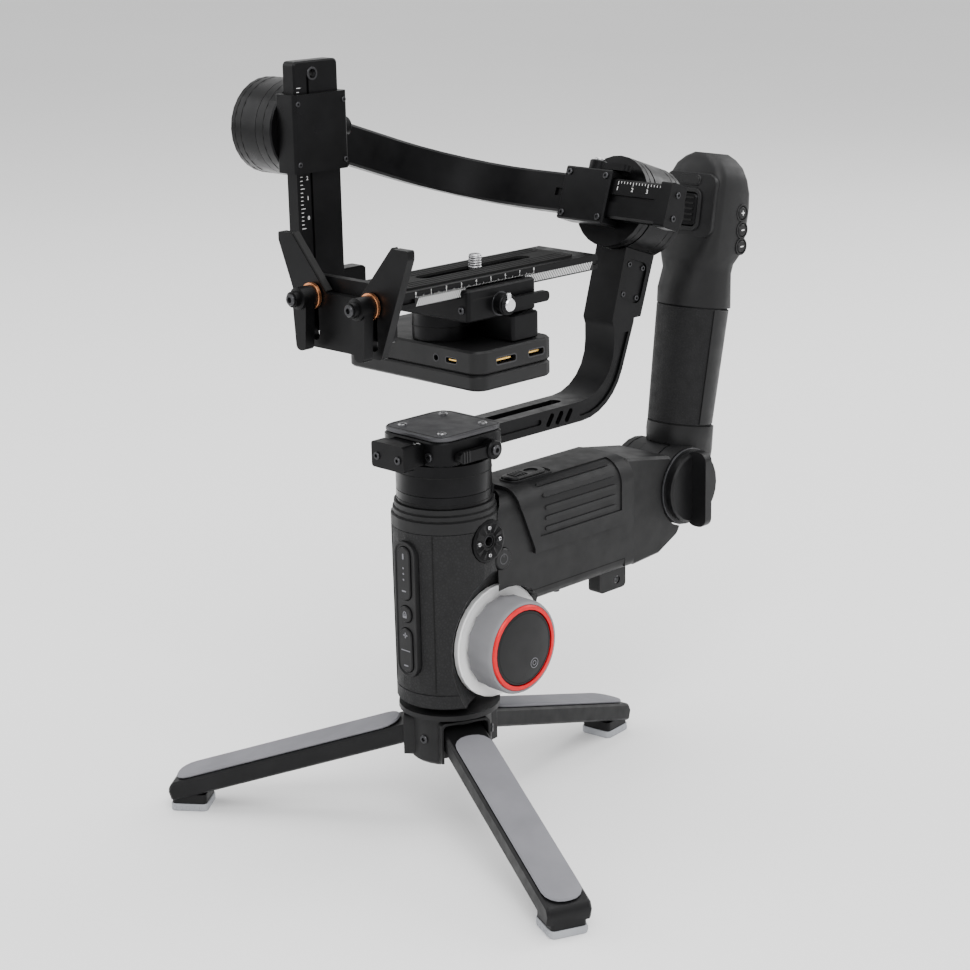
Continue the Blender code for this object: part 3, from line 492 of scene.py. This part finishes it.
def grip_pieces():
    _, sleeve_high = box_mm("grip_sleeve")
    ring_piece("grip_collar_seams", "gap", "grip",
               [(25.2, 26.35, 166.0, 166.5), (24.0, 25.6, 169.0, 169.4)], "Z", (0, 0))
    for number, azimuth in enumerate((-58, -124, 152), 1):
        seam = [(25.8, 77.2), (26.8, 77.2), (27.18, sleeve_high.z - 0.5), (26.2, sleeve_high.z - 0.5)]
        piece(f"grip_seam_{number}", "gap", "grip",
              lambda mesh: add_slab(mesh, seam, -0.25, 0.25, "Y"), turned_about("Z", azimuth))
    strip_pieces()
    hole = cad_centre("rosette_mount")
    piece("rosette_thread", "dark_steel", "grip",
          lambda mesh: thread_ridges(mesh, hole, "X", 21.4, 27.0, 2.7, 0.8, 0.45))

    def rosette_screws(mesh):
        for corner in range(4):
            angle = math.radians(90 * corner)
            centre = (hole[0] + 7.1 * math.cos(angle), hole[1] + 7.1 * math.sin(angle))
            add_screw(mesh, centre, "X", 27.4, 1.0)

    piece("rosette_screws", "steel", "grip", rosette_screws)
    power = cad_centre("power_button")
    face = box_mm("power_button")[1].x

    def power_mark(mesh):
        profile = [(2.3, face - 0.2), (2.3, face + 0.08), (2.8, face + 0.08), (2.8, face - 0.2)]
        add_turned(mesh, profile, "X", power, 40)
        add_slab(mesh, rectangle(power[0] - 0.25, power[0] + 0.25, power[1] + 0.8, power[1] + 3.4, 0.2, 2),
                 face - 0.2, face + 0.1, "X")

    piece("power_mark", "plate", "power_key", power_mark)


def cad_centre(node, plane="yz"):
    """The middle of a node's box, as the two coordinates across an axis."""
    low, high = box_mm(node)
    middle = (low + high) / 2
    return tuple(getattr(middle, letter) for letter in plane)


def strip_pieces():
    """A bead round the control strip, and plain marks on its keys."""
    low, high = box_mm("control_frame")
    face = low.y
    outer = rectangle(low.x - 0.05, high.x + 0.05, low.z - 0.05, high.z + 0.05, high.x - 0.4, 7)
    inner = rectangle(low.x + 1.1, high.x - 1.1, low.z + 1.1, high.z - 1.1, high.x - 1.6, 7)
    piece("strip_bead", "shell", "grip",
          lambda mesh: add_frame(mesh, outer, inner, face + 2.5, face - 0.35, "Y"), bevel=0.25)

    def bars(mesh, node, marks):
        key_low, _ = box_mm(node)
        x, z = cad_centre(node, "xz")
        for u, v, half_u, half_v in marks:
            outline = rectangle(x + u - half_u, x + u + half_u, z + v - half_v, z + v + half_v,
                                min(half_u, half_v) * 0.8, 3)
            add_slab(mesh, outline, key_low.y + 0.3, key_low.y - 0.1, "Y", 0.03)

    piece("mode_marks", "pad", "mode_key",
          lambda mesh: bars(mesh, "mode_button", [(0, 9, 0.5, 1.5), (0, 3, 0.5, 0.5), (0, 0, 0.5, 0.5),
                                                  (0, -3, 0.5, 0.5), (0, -9, 1.5, 0.4)]))
    piece("zoom_marks", "pad", "rocker_key",
          lambda mesh: bars(mesh, "zoom_rocker", [(0, 8, 1.5, 0.35), (0, 8, 0.35, 1.5), (0, -8, 1.5, 0.35),
                                                  (0, 0, 3.2, 0.25)]))

    def padlock(mesh):
        key_low, _ = box_mm("lock_button")
        x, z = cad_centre("lock_button", "xz")
        high_face = key_low.y - 0.1
        add_slab(mesh, rectangle(x - 1.4, x + 1.4, z - 1.8, z + 0.4, 0.3, 2), key_low.y + 0.3, high_face,
                 "Y")
        bow = [(0.7, key_low.y + 0.3), (1.15, key_low.y + 0.3), (1.15, high_face), (0.7, high_face)]
        add_turned(mesh, bow, "Y", (x, z + 0.5), 24)

    piece("lock_mark", "pad", "lock_key", padlock)


def wheel_pieces():
    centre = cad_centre("wheel_face")
    face = box_mm("wheel_face")[1].x
    ring_piece("wheel_face_rings", "gap", "wheel", [(18.0, 18.3, face - 1.6, face - 0.7)],
               "X", centre)
    red = box_mm("wheel_red_ring")[1].x

    def knurl(mesh):
        def ripple(reach, along, angle):
            return reach - (0.1 * (1 + math.cos(90 * angle)) if reach > 22 else 0)
        profile = [(21.0, red - 1.7), (22.3, red - 1.7), (22.3, red - 0.8), (21.0, red - 0.8)]
        add_turned(mesh, profile, "X", centre, 360, ripple)

    piece("wheel_red_knurl", "red", "wheel", knurl)

    def mark(mesh):
        place = (centre[0] + 6.5, centre[1] - 9.5)
        for radius in (1.0, 2.4):
            profile = [(radius, face - 1.5), (radius, face - 0.13), (radius + 0.3, face - 0.13)]
            add_turned(mesh, [*profile, (radius + 0.3, face - 1.5)], "X", place, 32)

    piece("wheel_mark", "pad", "wheel", mark)
    rim = box_mm("wheel_base")[1].x
    ring_piece("wheel_base_groove", "gap", "grip", [(18.45, 18.9, rim - 3.9, rim - 0.6)],
               "X", centre)


# ---------------------------------------------------------------- battery body and handle

DOOR_CORNER = (13, 160.6)  # x and z of the middle of the door's rounded corner
DOOR_RADIUS = 12.3


def body_pieces():
    def ribs(mesh):
        side = DOOR_CORNER[0] + DOOR_RADIUS
        for height in (149.6, 155.1):
            add_slab(mesh, rectangle(46, 100, height - 1.1, height + 1.1, 1.05), side - 0.3, side + 0.6,
                     "X", 0.35)

    piece("door_ribs", "smooth", "door", ribs)
    for number, angle in enumerate((0, 30, 60), 3):
        space = turned_about("Y", -angle, (DOOR_CORNER[0], 0, DOOR_CORNER[1]))
        piece(f"door_rib_{number}", "smooth", "door",
              lambda mesh: add_slab(mesh, rectangle(46, 100, -1.1, 1.1, 1.05), DOOR_RADIUS - 0.4,
                                    DOOR_RADIUS + 0.6, "X", 0.35), space)
    latch_low, latch_high = box_mm("door_latch")

    def latch_grip(mesh):
        for ridge in range(5):
            place = latch_low.y + 4 + 1.9 * ridge
            outline = rectangle(latch_low.x + 1.8, latch_high.x - 1.8, place, place + 0.9, 0.4, 3)
            add_slab(mesh, outline, latch_high.z - 0.4, latch_high.z + 0.45, "Z", 0.2)

    piece("latch_grip", "smooth", "latch", latch_grip)
    outer = rectangle(latch_low.x - 1.2, latch_high.x + 0.9, latch_low.y - 1.2, latch_high.y + 4.4, 5)
    inner = rectangle(latch_low.x - 0.5, latch_high.x + 0.4, latch_low.y - 0.5, latch_high.y + 3.6, 4.5)
    base = latch_low.z
    piece("latch_frame", "shell", "door",
          lambda mesh: add_frame(mesh, outer, inner, base - 1.0, base + 0.5, "Z"), bevel=0.2)
    side = box_mm("body_shell")[1].x

    def seams(mesh):
        add_slab(mesh, rectangle(36.6, 108, 118.2, 118.7), side - 1, side + 0.05, "X")
        add_slab(mesh, rectangle(108, 108.5, 114.0, 118.7), side - 1, side + 0.05, "X")

    piece("body_seams", "gap", "grip", seams)
    piece("body_seams_left", "gap", "grip",
          lambda mesh: add_slab(mesh, rectangle(36.6, 112.4, 124.2, 124.7), -side + 1, -side - 0.05, "X"))

    def vents(mesh):
        for slot in range(7):
            place = 58 + 5 * slot
            add_slab(mesh, rectangle(-12, 6, place, place + 1.6, 0.75, 3), 113, 111.95, "Z")

    piece("body_vents", "gap", "grip", vents)
    piece("lug_thread", "steel", "grip",
          lambda mesh: thread_ridges(mesh, (109, 105), "X", 10.4, 17.6, 1.9, 0.7, 0.3))

    def underside_screws(mesh):
        for x, y in ((-17, 60), (-17, 105), (19, 60)):
            add_screw(mesh, (x, y), "Z", 112.4, 2.0, -1.0)

    piece("body_screws", "dark_steel", "grip", underside_screws)


def handle_pieces():
    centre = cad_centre("hinge_knob")
    ring_piece("knob_light_ring", "plate", "knob", [(20.0, 21.15, 17.5, 18.7)], "X", centre)

    ring_piece("barrel_seams", "gap", "handle",
               [(20.2, 21.85, -16.4, -15.9)], "X", centre, steps=48)

    def barrel_cap(mesh):
        profile = [(0, -19.5), (16.5, -19.5), (17, -20.2), (15.5, -20.8), (4, -20.8), (3.6, -20.4),
                   (0, -20.4)]
        add_turned(mesh, profile, "X", centre, 40)

    piece("barrel_cap", "smooth", "handle", barrel_cap)

    def sleeve_back(mesh):
        inner, outer = [], []
        for step in range(29):
            angle = math.radians(-13 + 206 * step / 28)
            for ring, extra in ((outer, 0.6), (inner, -0.7)):
                for radius, height in ((17.7, 5.7), (19.55, 68.9)):
                    reach = radius + extra
                    point = (reach * math.cos(angle), reach * math.sin(angle) - 3, height)
                    ring.append(mesh.verts.new(point))
        for step in range(28):
            low = 2 * step
            mesh.faces.new((outer[low], outer[low + 2], outer[low + 3], outer[low + 1]))
            mesh.faces.new((inner[low], inner[low + 1], inner[low + 3], inner[low + 2]))
            mesh.faces.new((outer[low], inner[low], inner[low + 2], outer[low + 2]))
            mesh.faces.new((outer[low + 1], outer[low + 3], inner[low + 3], inner[low + 1]))
        mesh.faces.new((outer[0], outer[1], inner[1], inner[0]))
        mesh.faces.new((outer[-2], inner[-2], inner[-1], outer[-1]))

    piece("handle_back", "shell", "handle", sleeve_back, HANDLE, 0.2)
    opening = rectangle(-6.95, 6.95, 112.6, 130.9, 2.9, 6)

    def front_plate(mesh):
        outer = rectangle(-17.6, 17.6, 107.2, 141.5, 5.5, 6)
        add_frame(mesh, outer, opening, -12, -16.5, "Y")

    piece("handle_front_plate", "smooth", "handle", front_plate, HANDLE, 0.5)
    outer = rectangle(-9.2, 9.2, 110.2, 133.4, 5.2, 6)
    piece("trigger_frame", "shell", "handle",
          lambda mesh: add_frame(mesh, outer, opening, -11.5, -17.4, "Y"), HANDLE, 0.5)

    def record_pill(mesh):
        add_slab(mesh, rectangle(-7.4, 7.4, 134.6, 140.6, 2.6, 6), -12, -17.1, "Y", 0.5)
        add_slab(mesh, rectangle(-6.2, 6.2, 135.6, 139.6, 1.6, 5), -13, -17.4, "Y", 0.3)

    piece("record_pill", "shell", "handle", record_pill, HANDLE)

    def trigger_ribs(mesh):
        for rib in range(5):
            height = 115.5 + 3.0 * rib
            add_slab(mesh, rectangle(-4.6, 4.6, height, height + 1.1, 0.5, 3), -16.6, -18.1, "Y", 0.3)

    piece("trigger_ribs", "black_rubber", "trigger", trigger_ribs, HANDLE)
    for number in (1, 2, 3):
        low, high = box_mm(f"handle_button_{number}")
        middle = ((low.y + high.y) / 2, (low.z + high.z) / 2)
        ring_piece(f"button_ring_{number}", "smooth", "handle",
                   [(3.75, 4.7, high.x - 3.2, high.x - 0.35)], "X", middle, steps=36)

        def dot(mesh):
            add_slab(mesh, rectangle(middle[0] - 1.3, middle[0] + 1.3, middle[1] - 0.3, middle[1] + 0.3,
                                     0.25, 3),
                     high.x - 0.2, high.x + 0.06, "X")
            if number == 1:
                add_slab(mesh, rectangle(middle[0] - 0.3, middle[0] + 0.3, middle[1] - 1.3,
                                         middle[1] + 1.3, 0.25),
                         high.x - 0.2, high.x + 0.07, "X")

        piece(f"button_mark_{number}", "ink", f"button_{number}", dot)
    ring_piece("handle_seams", "gap", "handle",
               [(16.0, 17.6, 4.55, 4.9), (18.0, 19.4, 69.65, 69.95)], "Z", (0, -3), HANDLE)


# ---------------------------------------------------------------- motors and arms

def screws_on(centre, spots, axis, face, radius, out=1.0):
    """A draw function for screws at offsets (u, v) from a centre."""
    def draw(mesh):
        for u, v in spots:
            add_screw(mesh, (centre[0] + u, centre[1] + v), axis, face, radius, out)
    return draw


def circle_spots(radius, count, start=0.0):
    angles = [start + 2 * math.pi * step / count for step in range(count)]
    return [(radius * math.cos(angle), radius * math.sin(angle)) for angle in angles]


def pan_pieces():
    low, high = box_mm("pan_clamp_plate")
    corners = [(u, v) for u in (-14, 14) for v in (-14, 14)]
    piece("pan_plate_screws", "steel", "pan",
          screws_on((0, 0), corners, "Z", high.z - 0.5, 2.3))
    inner = rectangle(low.x + 2.4, high.x - 2.4, low.y + 2.4, high.y - 2.4, 2.2)
    outer = rectangle(low.x + 2.0, high.x - 2.0, low.y + 2.0, high.y - 2.0, 2.6)
    piece("pan_plate_line", "gap", "pan",
          lambda mesh: add_frame(mesh, outer, inner, high.z - 0.5, high.z + 0.04, "Z"))
    rotor_low, rotor_high = box_mm("pan_motor_rotor")
    reach = (rotor_high.x - rotor_low.x) / 2
    stator_low, stator_high = box_mm("pan_motor_stator")
    stator_reach = (stator_high.x - stator_low.x) / 2
    middle = (rotor_low.z + rotor_high.z) / 2
    ring_piece("pan_rotor_seam", "gap", "pan",
               [(reach - 1.5, reach + 0.03, middle + 1.2, middle + 1.7)], "Z", (0, 0))
    ring_piece("pan_stator_seams", "gap", "grip",
               [(stator_reach - 2, stator_reach + 0.03, stator_high.z - 4.4, stator_high.z - 3.9)], "Z",
               (0, 0))
    block_low, block_high = box_mm("pan_clamp_block")
    piece("pan_block_screws", "dark_steel", "pan",
          screws_on((0, 199.5), [(-14, 0), (14, 0)], "Y", block_low.y + 0.3, 2.2, -1.0))
    lever_low, lever_high = box_mm("pan_clamp_lever")
    piece("pan_lever_screw", "dark_steel", "pan_lever",
          screws_on((8, 199.5), [(0, 0)], "X", lever_high.x - 0.3, 2.6))

    def lever_grooves(mesh):
        for groove in range(3):
            place = lever_low.y + 2.2 + 1.8 * groove
            outline = rectangle(place, place + 0.8, 196.6, 202.4, 0.35, 3)
            add_slab(mesh, outline, lever_high.x - 2.5, lever_high.x - 0.95, "X", 0.1)

    piece("pan_lever_grip", "smooth", "pan_lever", lever_grooves)
    stop = turned_about("Z", 64)
    piece("pan_stop_tab", "motor", "grip",
          lambda mesh: add_slab(mesh, rectangle(-3.2, 3.2, stator_high.z - 7.5, stator_high.z - 0.6, 1),
                                stator_reach - 1, stator_reach + 1.1, "X", 0.4), stop)


def roll_pieces():
    low, high = box_mm("roll_motor_stator")
    rim = (high.x - low.x) / 2
    rings = [(rim - 1.5, rim + 0.03, place, place + 0.5) for place in (157.0, 161.2)]
    ring_piece("roll_stator_rings", "gap", "arm", rings, "Y", (0, 0), ROLL)
    ring_piece("roll_cap_ring", "gap", "arm", [(19.6, 20.1, 164, 166.05)], "Y",
               (0, 0), ROLL)
    piece("roll_cap_screws", "dark_steel", "arm",
          screws_on((0, 0), circle_spots(16.5, 6, 0.3), "Y", 165.8, 1.6), ROLL)
    ring_piece("roll_cap_boss", "motor", "arm", [(3.4, 11.0, 165.5, 166.8)], "Y",
               (0, 0), ROLL)
    ring_piece("roll_rotor_ring", "gap", "roll",
               [(rim - 1.5, rim + 0.03, 136.4, 136.9)], "Y", (0, 0), ROLL)
    spots = [(x, z) for x in (-20.5, 4.5) for z in (-10.8, 10.8)]
    piece("roll_clamp_screws", "dark_steel", "roll",
          screws_on((0, 0), spots, "Y", 119.8, 1.7, -1.0), ROLL)
    piece("roll_lever_screw", "steel", "roll_lever",
          screws_on((-8, 126.5), [(0, 0)], "Z", 18.8, 2.8), ROLL)

    def ticks(mesh):
        for step in range(15):
            place = 12 + 2 * step
            tall = 1.9 if step % 5 == 0 else 1.1
            add_slab(mesh, rectangle(place - 0.14, place + 0.14, 9.1 - tall, 9.1), 122.3, 121.93, "Y")

    piece("roll_arm_scale", "ink", "side_arm", ticks, ROLL)
    for number in (1, 2, 3):
        digits(f"roll_arm_figure_{number}", str(number), 3.0, (10 * number + 2, 121.95, 5.2), (1, 0, 0),
               (0, 0, 1), "side_arm", ROLL)
    piece("roll_arm_end_screws", "dark_steel", "side_arm",
          screws_on((127.3, 0), [(0, -6), (0, 6)], "X", 47.8, 1.6), ROLL)


def tilt_pieces():
    low, high = box_mm("tilt_motor_housing")
    rim, centre = (high.y - low.y) / 2, (0, AXES_HEIGHT)
    rings = [(rim - 1.5, rim + 0.03, place, place + 0.5) for place in (-121.4, -116.9)]
    ring_piece("tilt_housing_rings", "gap", "side_arm", rings, "X", centre)
    ring_piece("tilt_cap_ring", "gap", "side_arm",
               [(13.2, 13.7, low.x - 0.04, low.x + 1)], "X", centre)
    piece("tilt_cap_screws", "dark_steel", "side_arm",
          screws_on(centre, circle_spots(10, 4, 0.8), "X", low.x + 0.2, 1.6, -1.0))
    rotor_low = box_mm("tilt_motor_rotor")[0]
    ring_piece("tilt_rotor_seam", "gap", "tilt",
               [(rim - 1.5, rim + 0.03, rotor_low.x + 5.4, rotor_low.x + 5.9)], "X", centre)
    bar_low = box_mm("tilt_bar")[0]
    face = -82.0

    def ticks(mesh):
        for step in range(36):
            place = 300 + 2 * step
            long = 2.6 if step % 5 == 0 else 1.5
            add_slab(mesh, rectangle(-15.6, -15.6 + long, place - 0.14, place + 0.14), face - 0.3,
                     face + 0.07, "X")

    piece("tilt_bar_scale", "ink", "base", ticks)
    for number in range(7):
        digits(f"tilt_bar_figure_{number}", str(number), 2.8, (face + 0.05, -11.0, 305.0 + 10 * number),
               (0, 1, 0), (0, 0, 1), "base")
    ring_piece("tilt_bar_eyelet", "dark_steel", "base",
               [(2.35, 3.3, face - 2, face + 0.25), (2.35, 3.3, bar_low.x - 0.25, bar_low.x + 2)], "X",
               (-5, 376.5))
    lever_low, lever_high = box_mm("tilt_clamp_lever")
    piece("tilt_lever_screw", "steel", "tilt_lever",
          screws_on((-86.5, AXES_HEIGHT), [(0, 0)], "Y", lever_high.y - 0.2, 2.8))
    spots = [(y, z) for y in (-17.6, 12.6) for z in (332.5, 362.5)]
    piece("tilt_clamp_screws", "dark_steel", "tilt",
          screws_on((0, 0), spots, "X", high.x + 25.8, 1.3))


def base_pieces():
    low, high = box_mm("base_box_upper")
    bottom = box_mm("base_box_lower")[0].z
    ports = 243.9
    ring_piece("jack_ring", "dark_steel", "base",
               [(1.5, 2.1, low.y - 0.1, low.y + 4)], "Y", (0.9, ports))
    outer = rectangle(7.2, 15.6, ports - 1.8, ports + 1.8, 1.4)
    inner = rectangle(7.7, 15.1, ports - 1.3, ports + 1.3, 1.0)
    piece("micro_port_liner", "dark_steel", "base",
          lambda mesh: add_frame(mesh, outer, inner, low.y - 0.05, low.y + 4.6, "Y"))
    piece("micro_port_tongue", "gold", "base",
          lambda mesh: add_slab(mesh, rectangle(8.9, 13.9, ports - 0.3, ports + 0.4), low.y + 4.8,
                                low.y + 1, "Y"))

    def side_liners(mesh):
        for middle, half in ((15.2, 7.2), (36.3, 5.8)):
            edge = rectangle(middle - half - 0.2, middle + half + 0.2, ports - 2.2, ports + 2.2, 1.6)
            hole = rectangle(middle - half + 0.5, middle + half - 0.5, ports - 1.5, ports + 1.5, 1.0)
            add_frame(mesh, edge, hole, high.x - 6, high.x + 0.06, "X")

    piece("side_port_liners", "dark_steel", "base", side_liners)

    def tongues(mesh):
        for middle, half in ((15.2, 5.4), (36.3, 4.0)):
            add_slab(mesh, rectangle(middle - half, middle + half, ports - 0.25, ports + 0.45),
                     high.x - 6.6, high.x - 1.9, "X", 0.2)
            for contact in range(-3, 4):
                place = middle + contact * half / 4
                add_slab(mesh, rectangle(place - 0.3, place + 0.3, ports - 0.5, ports + 0.6), high.x - 6.6,
                         high.x - 2.3, "X")

    piece("side_port_tongues", "gold", "base", tongues)
    corners = [(x, y) for x in (low.x + 8, high.x - 8) for y in (low.y + 8, high.y - 8)]
    piece("base_screws", "dark_steel", "base",
          screws_on((0, 0), corners, "Z", bottom + 0.3, 2.3, -1.0))

    def feet(mesh):
        for x, y in corners:
            inward = -12 if x > 0 else 12
            add_slab(mesh, rectangle(x + inward - 3.5, x + inward + 3.5, y - 3.5, y + 3.5, 3.4),
                     bottom + 0.3, bottom - 0.5, "Z", 0.2)

    piece("base_feet", "black_rubber", "base", feet)
    ring_piece("pedestal_ring", "gap", "base", [(13.5, 15.03, 256.6, 257.2)], "Z", (-12, 13))
    seat_low, seat_high = box_mm("qr_base")
    piece("seat_screws", "dark_steel", "base",
          screws_on((0, 0), [(-20.5, 269.8), (20.5, 269.8)], "Y", seat_low.y + 0.3, 1.9, -1.0))

    def rails(mesh):
        for side in (-1, 1):
            outline = rectangle(seat_low.y + 3, seat_high.y - 3, 274.6, 275.3, 0.3, 2)
            add_slab(mesh, outline, side * 24.6, side * 25.04, "X")

    piece("seat_lines", "gap", "base", rails)
    knob_low, knob_high = box_mm("qr_lever")
    knob = (17, 270.5)

    def stud(mesh):
        end = knob_high.x
        add_turned(mesh, [(0, end - 3), (3.3, end - 3), (3.3, end + 1.6), (2.8, end + 2.2),
                          (0, end + 2.2)], "X",
                   knob, 24)
        top = knob[1] + 3.0
        add_turned(mesh, [(0, top - 3), (1.3, top - 3), (1.3, top + 2.2), (0.8, top + 2.8),
                          (0, top + 2.8)], "Z",
                   (end + 0.4, knob[0]), 16)

    piece("qr_knob_stud", "silver", "base_lever", stud)
    ring_piece("qr_knob_collar", "metal", "base_lever",
               [(3.3, 5.0, knob_high.x - 0.2, knob_high.x + 0.7)], "X", knob)
    ring_piece("qr_knob_washer", "dark_steel", "base", [(3.0, 6.0, 24.7, 25.28)], "X", knob)


HATCHED = ((-34, 24), (38, 38))  # where each hatched strip starts, and its count of bars


def plate_pieces():
    low = box_mm("qr_plate")[0]
    side, top, base = 19.8, 283.6, 280.45

    def ticks(mesh):
        for step in range(81):
            place = -34 + step
            tall = 1.3 if step % 10 == 0 else (0.9 if step % 5 == 0 else 0.35)
            add_slab(mesh, rectangle(place - 0.09, place + 0.09, base, base + tall), side - 0.2,
                     side + 0.06, "X")

    piece("plate_scale", "ink", "plate", ticks)
    for number in range(9):
        digits(f"plate_figure_{number}", str(number), 1.9, (side + 0.05, -34.0 + 10 * number, base + 2.1),
               (0, 1, 0), (0, 0, 1), "plate")

    def hatches(mesh):
        for start, count in HATCHED:
            for step in range(count):
                place = start + 1.3 * step
                lean = [(place, 276.4), (place + 0.55, 276.4), (place + 2.65, 280.1), (place + 2.1, 280.1)]
                add_slab(mesh, lean, side - 0.2, side + 0.1, "X")

    def label(mesh):
        for start, count in HATCHED:
            add_slab(mesh, rectangle(start - 0.6, start + 1.3 * count + 2, 276.1, 280.35), side - 1.45,
                     side + 0.05, "X")

    piece("plate_label", "smooth", "plate", label)
    piece("plate_hatching", "ink", "plate", hatches)

    def rubber(mesh):
        add_frame(mesh, rectangle(-15.5, 15.5, -36, 80, 2.5), rectangle(-4.4, 4.4, -14, 62, 4.3), top - 0.4,
                  top + 1.0, "Z")
        for sign in (-1, 1):
            for rib in range(3):
                place = sign * (6.6 + 3.2 * rib)
                add_slab(mesh, rectangle(place - 0.6, place + 0.6, -32, 76, 0.5, 2), top + 0.5, top + 1.3,
                         "Z", 0.2)

    piece("plate_rubber", "black_rubber", "plate", rubber, bevel=0.25)
    corners = [(x, z) for x in (-22.5, 22.5) for z in (267.5, 285.5)]
    piece("plate_front_screws", "dark_steel", "plate",
          screws_on((0, 0), corners, "Y", low.y + 4.0, 1.6, 1.0))
    piece("camera_screw_thread", "steel", "screw",
          lambda mesh: thread_ridges(mesh, (0, 25), "Z", 284.2, 290.4, 2.95, 1.2, 0.42))
    for name, sign in (("left", -1), ("right", 1)):
        centre = (sign * 20.5, 281.0)
        body, node = f"fork_pin_{name}", f"fork_lever_{name}"
        ring_piece(f"fork_copper_{name}", "copper", body, [(5.3, 6.35, -64.6, -62.7)], "Y", centre)
        piece(f"fork_screw_{name}", "dark_steel", body,
              screws_on(centre, [(0, 0)], "Y", -75.7, 2.9, -1.0))

        def strip(mesh):
            outline = [(12.6, 283.3), (35.1, 308.7), (34.1, 309.6), (11.6, 284.2)]
            add_slab(mesh, [(sign * x, z) for x, z in outline], -61.7, -57.9, "Y")

        piece(f"fork_rubber_{name}", "black_rubber", "fork", strip, bevel=0.25)


def arm_pieces():
    low = box_mm("pan_arm")[0]
    piece("arm_end_screws", "dark_steel", "arm",
          screws_on((0, 199.7), [(-7.4, 0), (7.4, 0)], "Y", low.y + 0.3, 2.0, -1.0))
    spots = [(s, h) for s in (147, 158) for h in (-46, -30)]
    for name, sign in (("left", -1), ("right", 1)):
        piece(f"arm_block_screws_{name}", "dark_steel", "arm",
              screws_on((0, 0), spots, "X", sign * 9.1, 1.5, sign), ROLL)

    def scale(mesh):
        for step in range(26):
            place = -34 + 2 * step
            long = 2.6 if step % 5 == 0 else 1.5
            add_slab(mesh, rectangle(6.4, 6.4 + long, place - 0.14, place + 0.14), 205.3, 205.67, "Z")

    piece("arm_scale", "ink", "arm", scale)


# ---------------------------------------------------------------- scene

def smooth_normals(data, limit=math.radians(36)):
    """Gives a carried-over mesh round shading: its coordinates stay as they are."""
    places = [tuple(round(value * 2e5) for value in vertex.co) for vertex in data.vertices]
    around = {}
    for polygon in data.polygons:
        for corner in polygon.vertices:
            around.setdefault(places[corner], []).append((polygon.normal.copy(), polygon.area))
    least = math.cos(limit)
    normals = []
    for polygon in data.polygons:
        for corner in polygon.vertices:
            total = Vector((0, 0, 0))
            for normal, area in around[places[corner]]:
                if polygon.normal.dot(normal) > least:
                    total += normal * area
            normals.append(total.normalized() if total.length else polygon.normal)
    for polygon in data.polygons:
        polygon.use_smooth = True
    data.normals_split_custom_set(normals)


def floor_material():
    look = Surface("pale_floor", 0.75)
    look.colour(look.noise(0.6, 5), (0.90, 0.90, 0.90), (0.94, 0.94, 0.94))
    look.rough(look.noise(3, 4), 0.66, 0.84)
    look.bump(look.noise(400, 3), 0.03, 0.2)
    return look.made


def make_floor():
    data = bpy.data.meshes.new("floor")
    half = 15.0
    data.from_pydata([(-half, -half, 0), (half, -half, 0), (half, half, 0), (-half, half, 0)], [],
                     [(0, 1, 2, 3)])
    data.materials.append(floor_material())
    floor = bpy.data.objects.new("floor", data)
    bpy.context.scene.collection.objects.link(floor)


def area_light(name, place, target, size, power):
    data = bpy.data.lights.new(name, "AREA")
    data.shape, data.size, data.energy = "DISK", size, power
    light = bpy.data.objects.new(name, data)
    toward = Vector(place) - Vector(target)
    light.matrix_world = Matrix.Translation(place) @ toward.to_track_quat("Z", "Y").to_matrix().to_4x4()
    bpy.context.scene.collection.objects.link(light)


def make_light():
    middle = (0, 0, 0.2)
    area_light("key", (1.3, -1.0, 1.9), middle, 1.5, 42)
    area_light("fill", (-1.9, -1.1, 1.1), middle, 1.8, 18)
    area_light("top", (-0.1, 0.3, 2.2), middle, 1.8, 30)
    area_light("rim", (0.4, 2.0, 1.2), middle, 1.4, 22)
    world = bpy.data.worlds.new("studio")
    world.use_nodes = True
    world.node_tree.nodes["Background"].inputs["Color"].default_value = (1, 1, 1, 1)
    world.node_tree.nodes["Background"].inputs["Strength"].default_value = 0.95
    bpy.context.scene.world = world


# The camera stands at CAMERA_PLACE in the design frame and looks against CAMERA_AWAY. Angles are radians.
CAMERA_PLACE, CAMERA_AWAY = (761.53, -727.45, 480.84), (0.68185, -0.67711, 0.27678)
CAMERA_TURN, CAMERA_ROLL, FOCAL_LENGTH = 0.789, -0.021, 81.65


def make_camera():
    data = bpy.data.cameras.new("camera")
    data.sensor_width, data.lens = 36.0, FOCAL_LENGTH
    data.clip_start, data.clip_end = 0.05, 100
    camera = bpy.data.objects.new("camera", data)
    away = Vector(CAMERA_AWAY).normalized()
    level = Vector((math.cos(CAMERA_TURN), math.sin(CAMERA_TURN), 0))
    rise = away.cross(level)
    right = math.cos(CAMERA_ROLL) * level + math.sin(CAMERA_ROLL) * rise
    up = math.cos(CAMERA_ROLL) * rise - math.sin(CAMERA_ROLL) * level
    axes = Matrix((right, up, away)).transposed().to_4x4()
    camera.matrix_world = Matrix.Translation(WORLD @ Vector(CAMERA_PLACE)) @ axes
    bpy.context.scene.collection.objects.link(camera)
    bpy.context.scene.camera = camera


dress_nodes()
for carried in NODES.values():
    smooth_normals(carried.data)
tripod_pieces()
grip_pieces()
wheel_pieces()
body_pieces()
handle_pieces()
pan_pieces()
arm_pieces()
roll_pieces()
tilt_pieces()
base_pieces()
plate_pieces()
make_floor()
make_light()
make_camera()
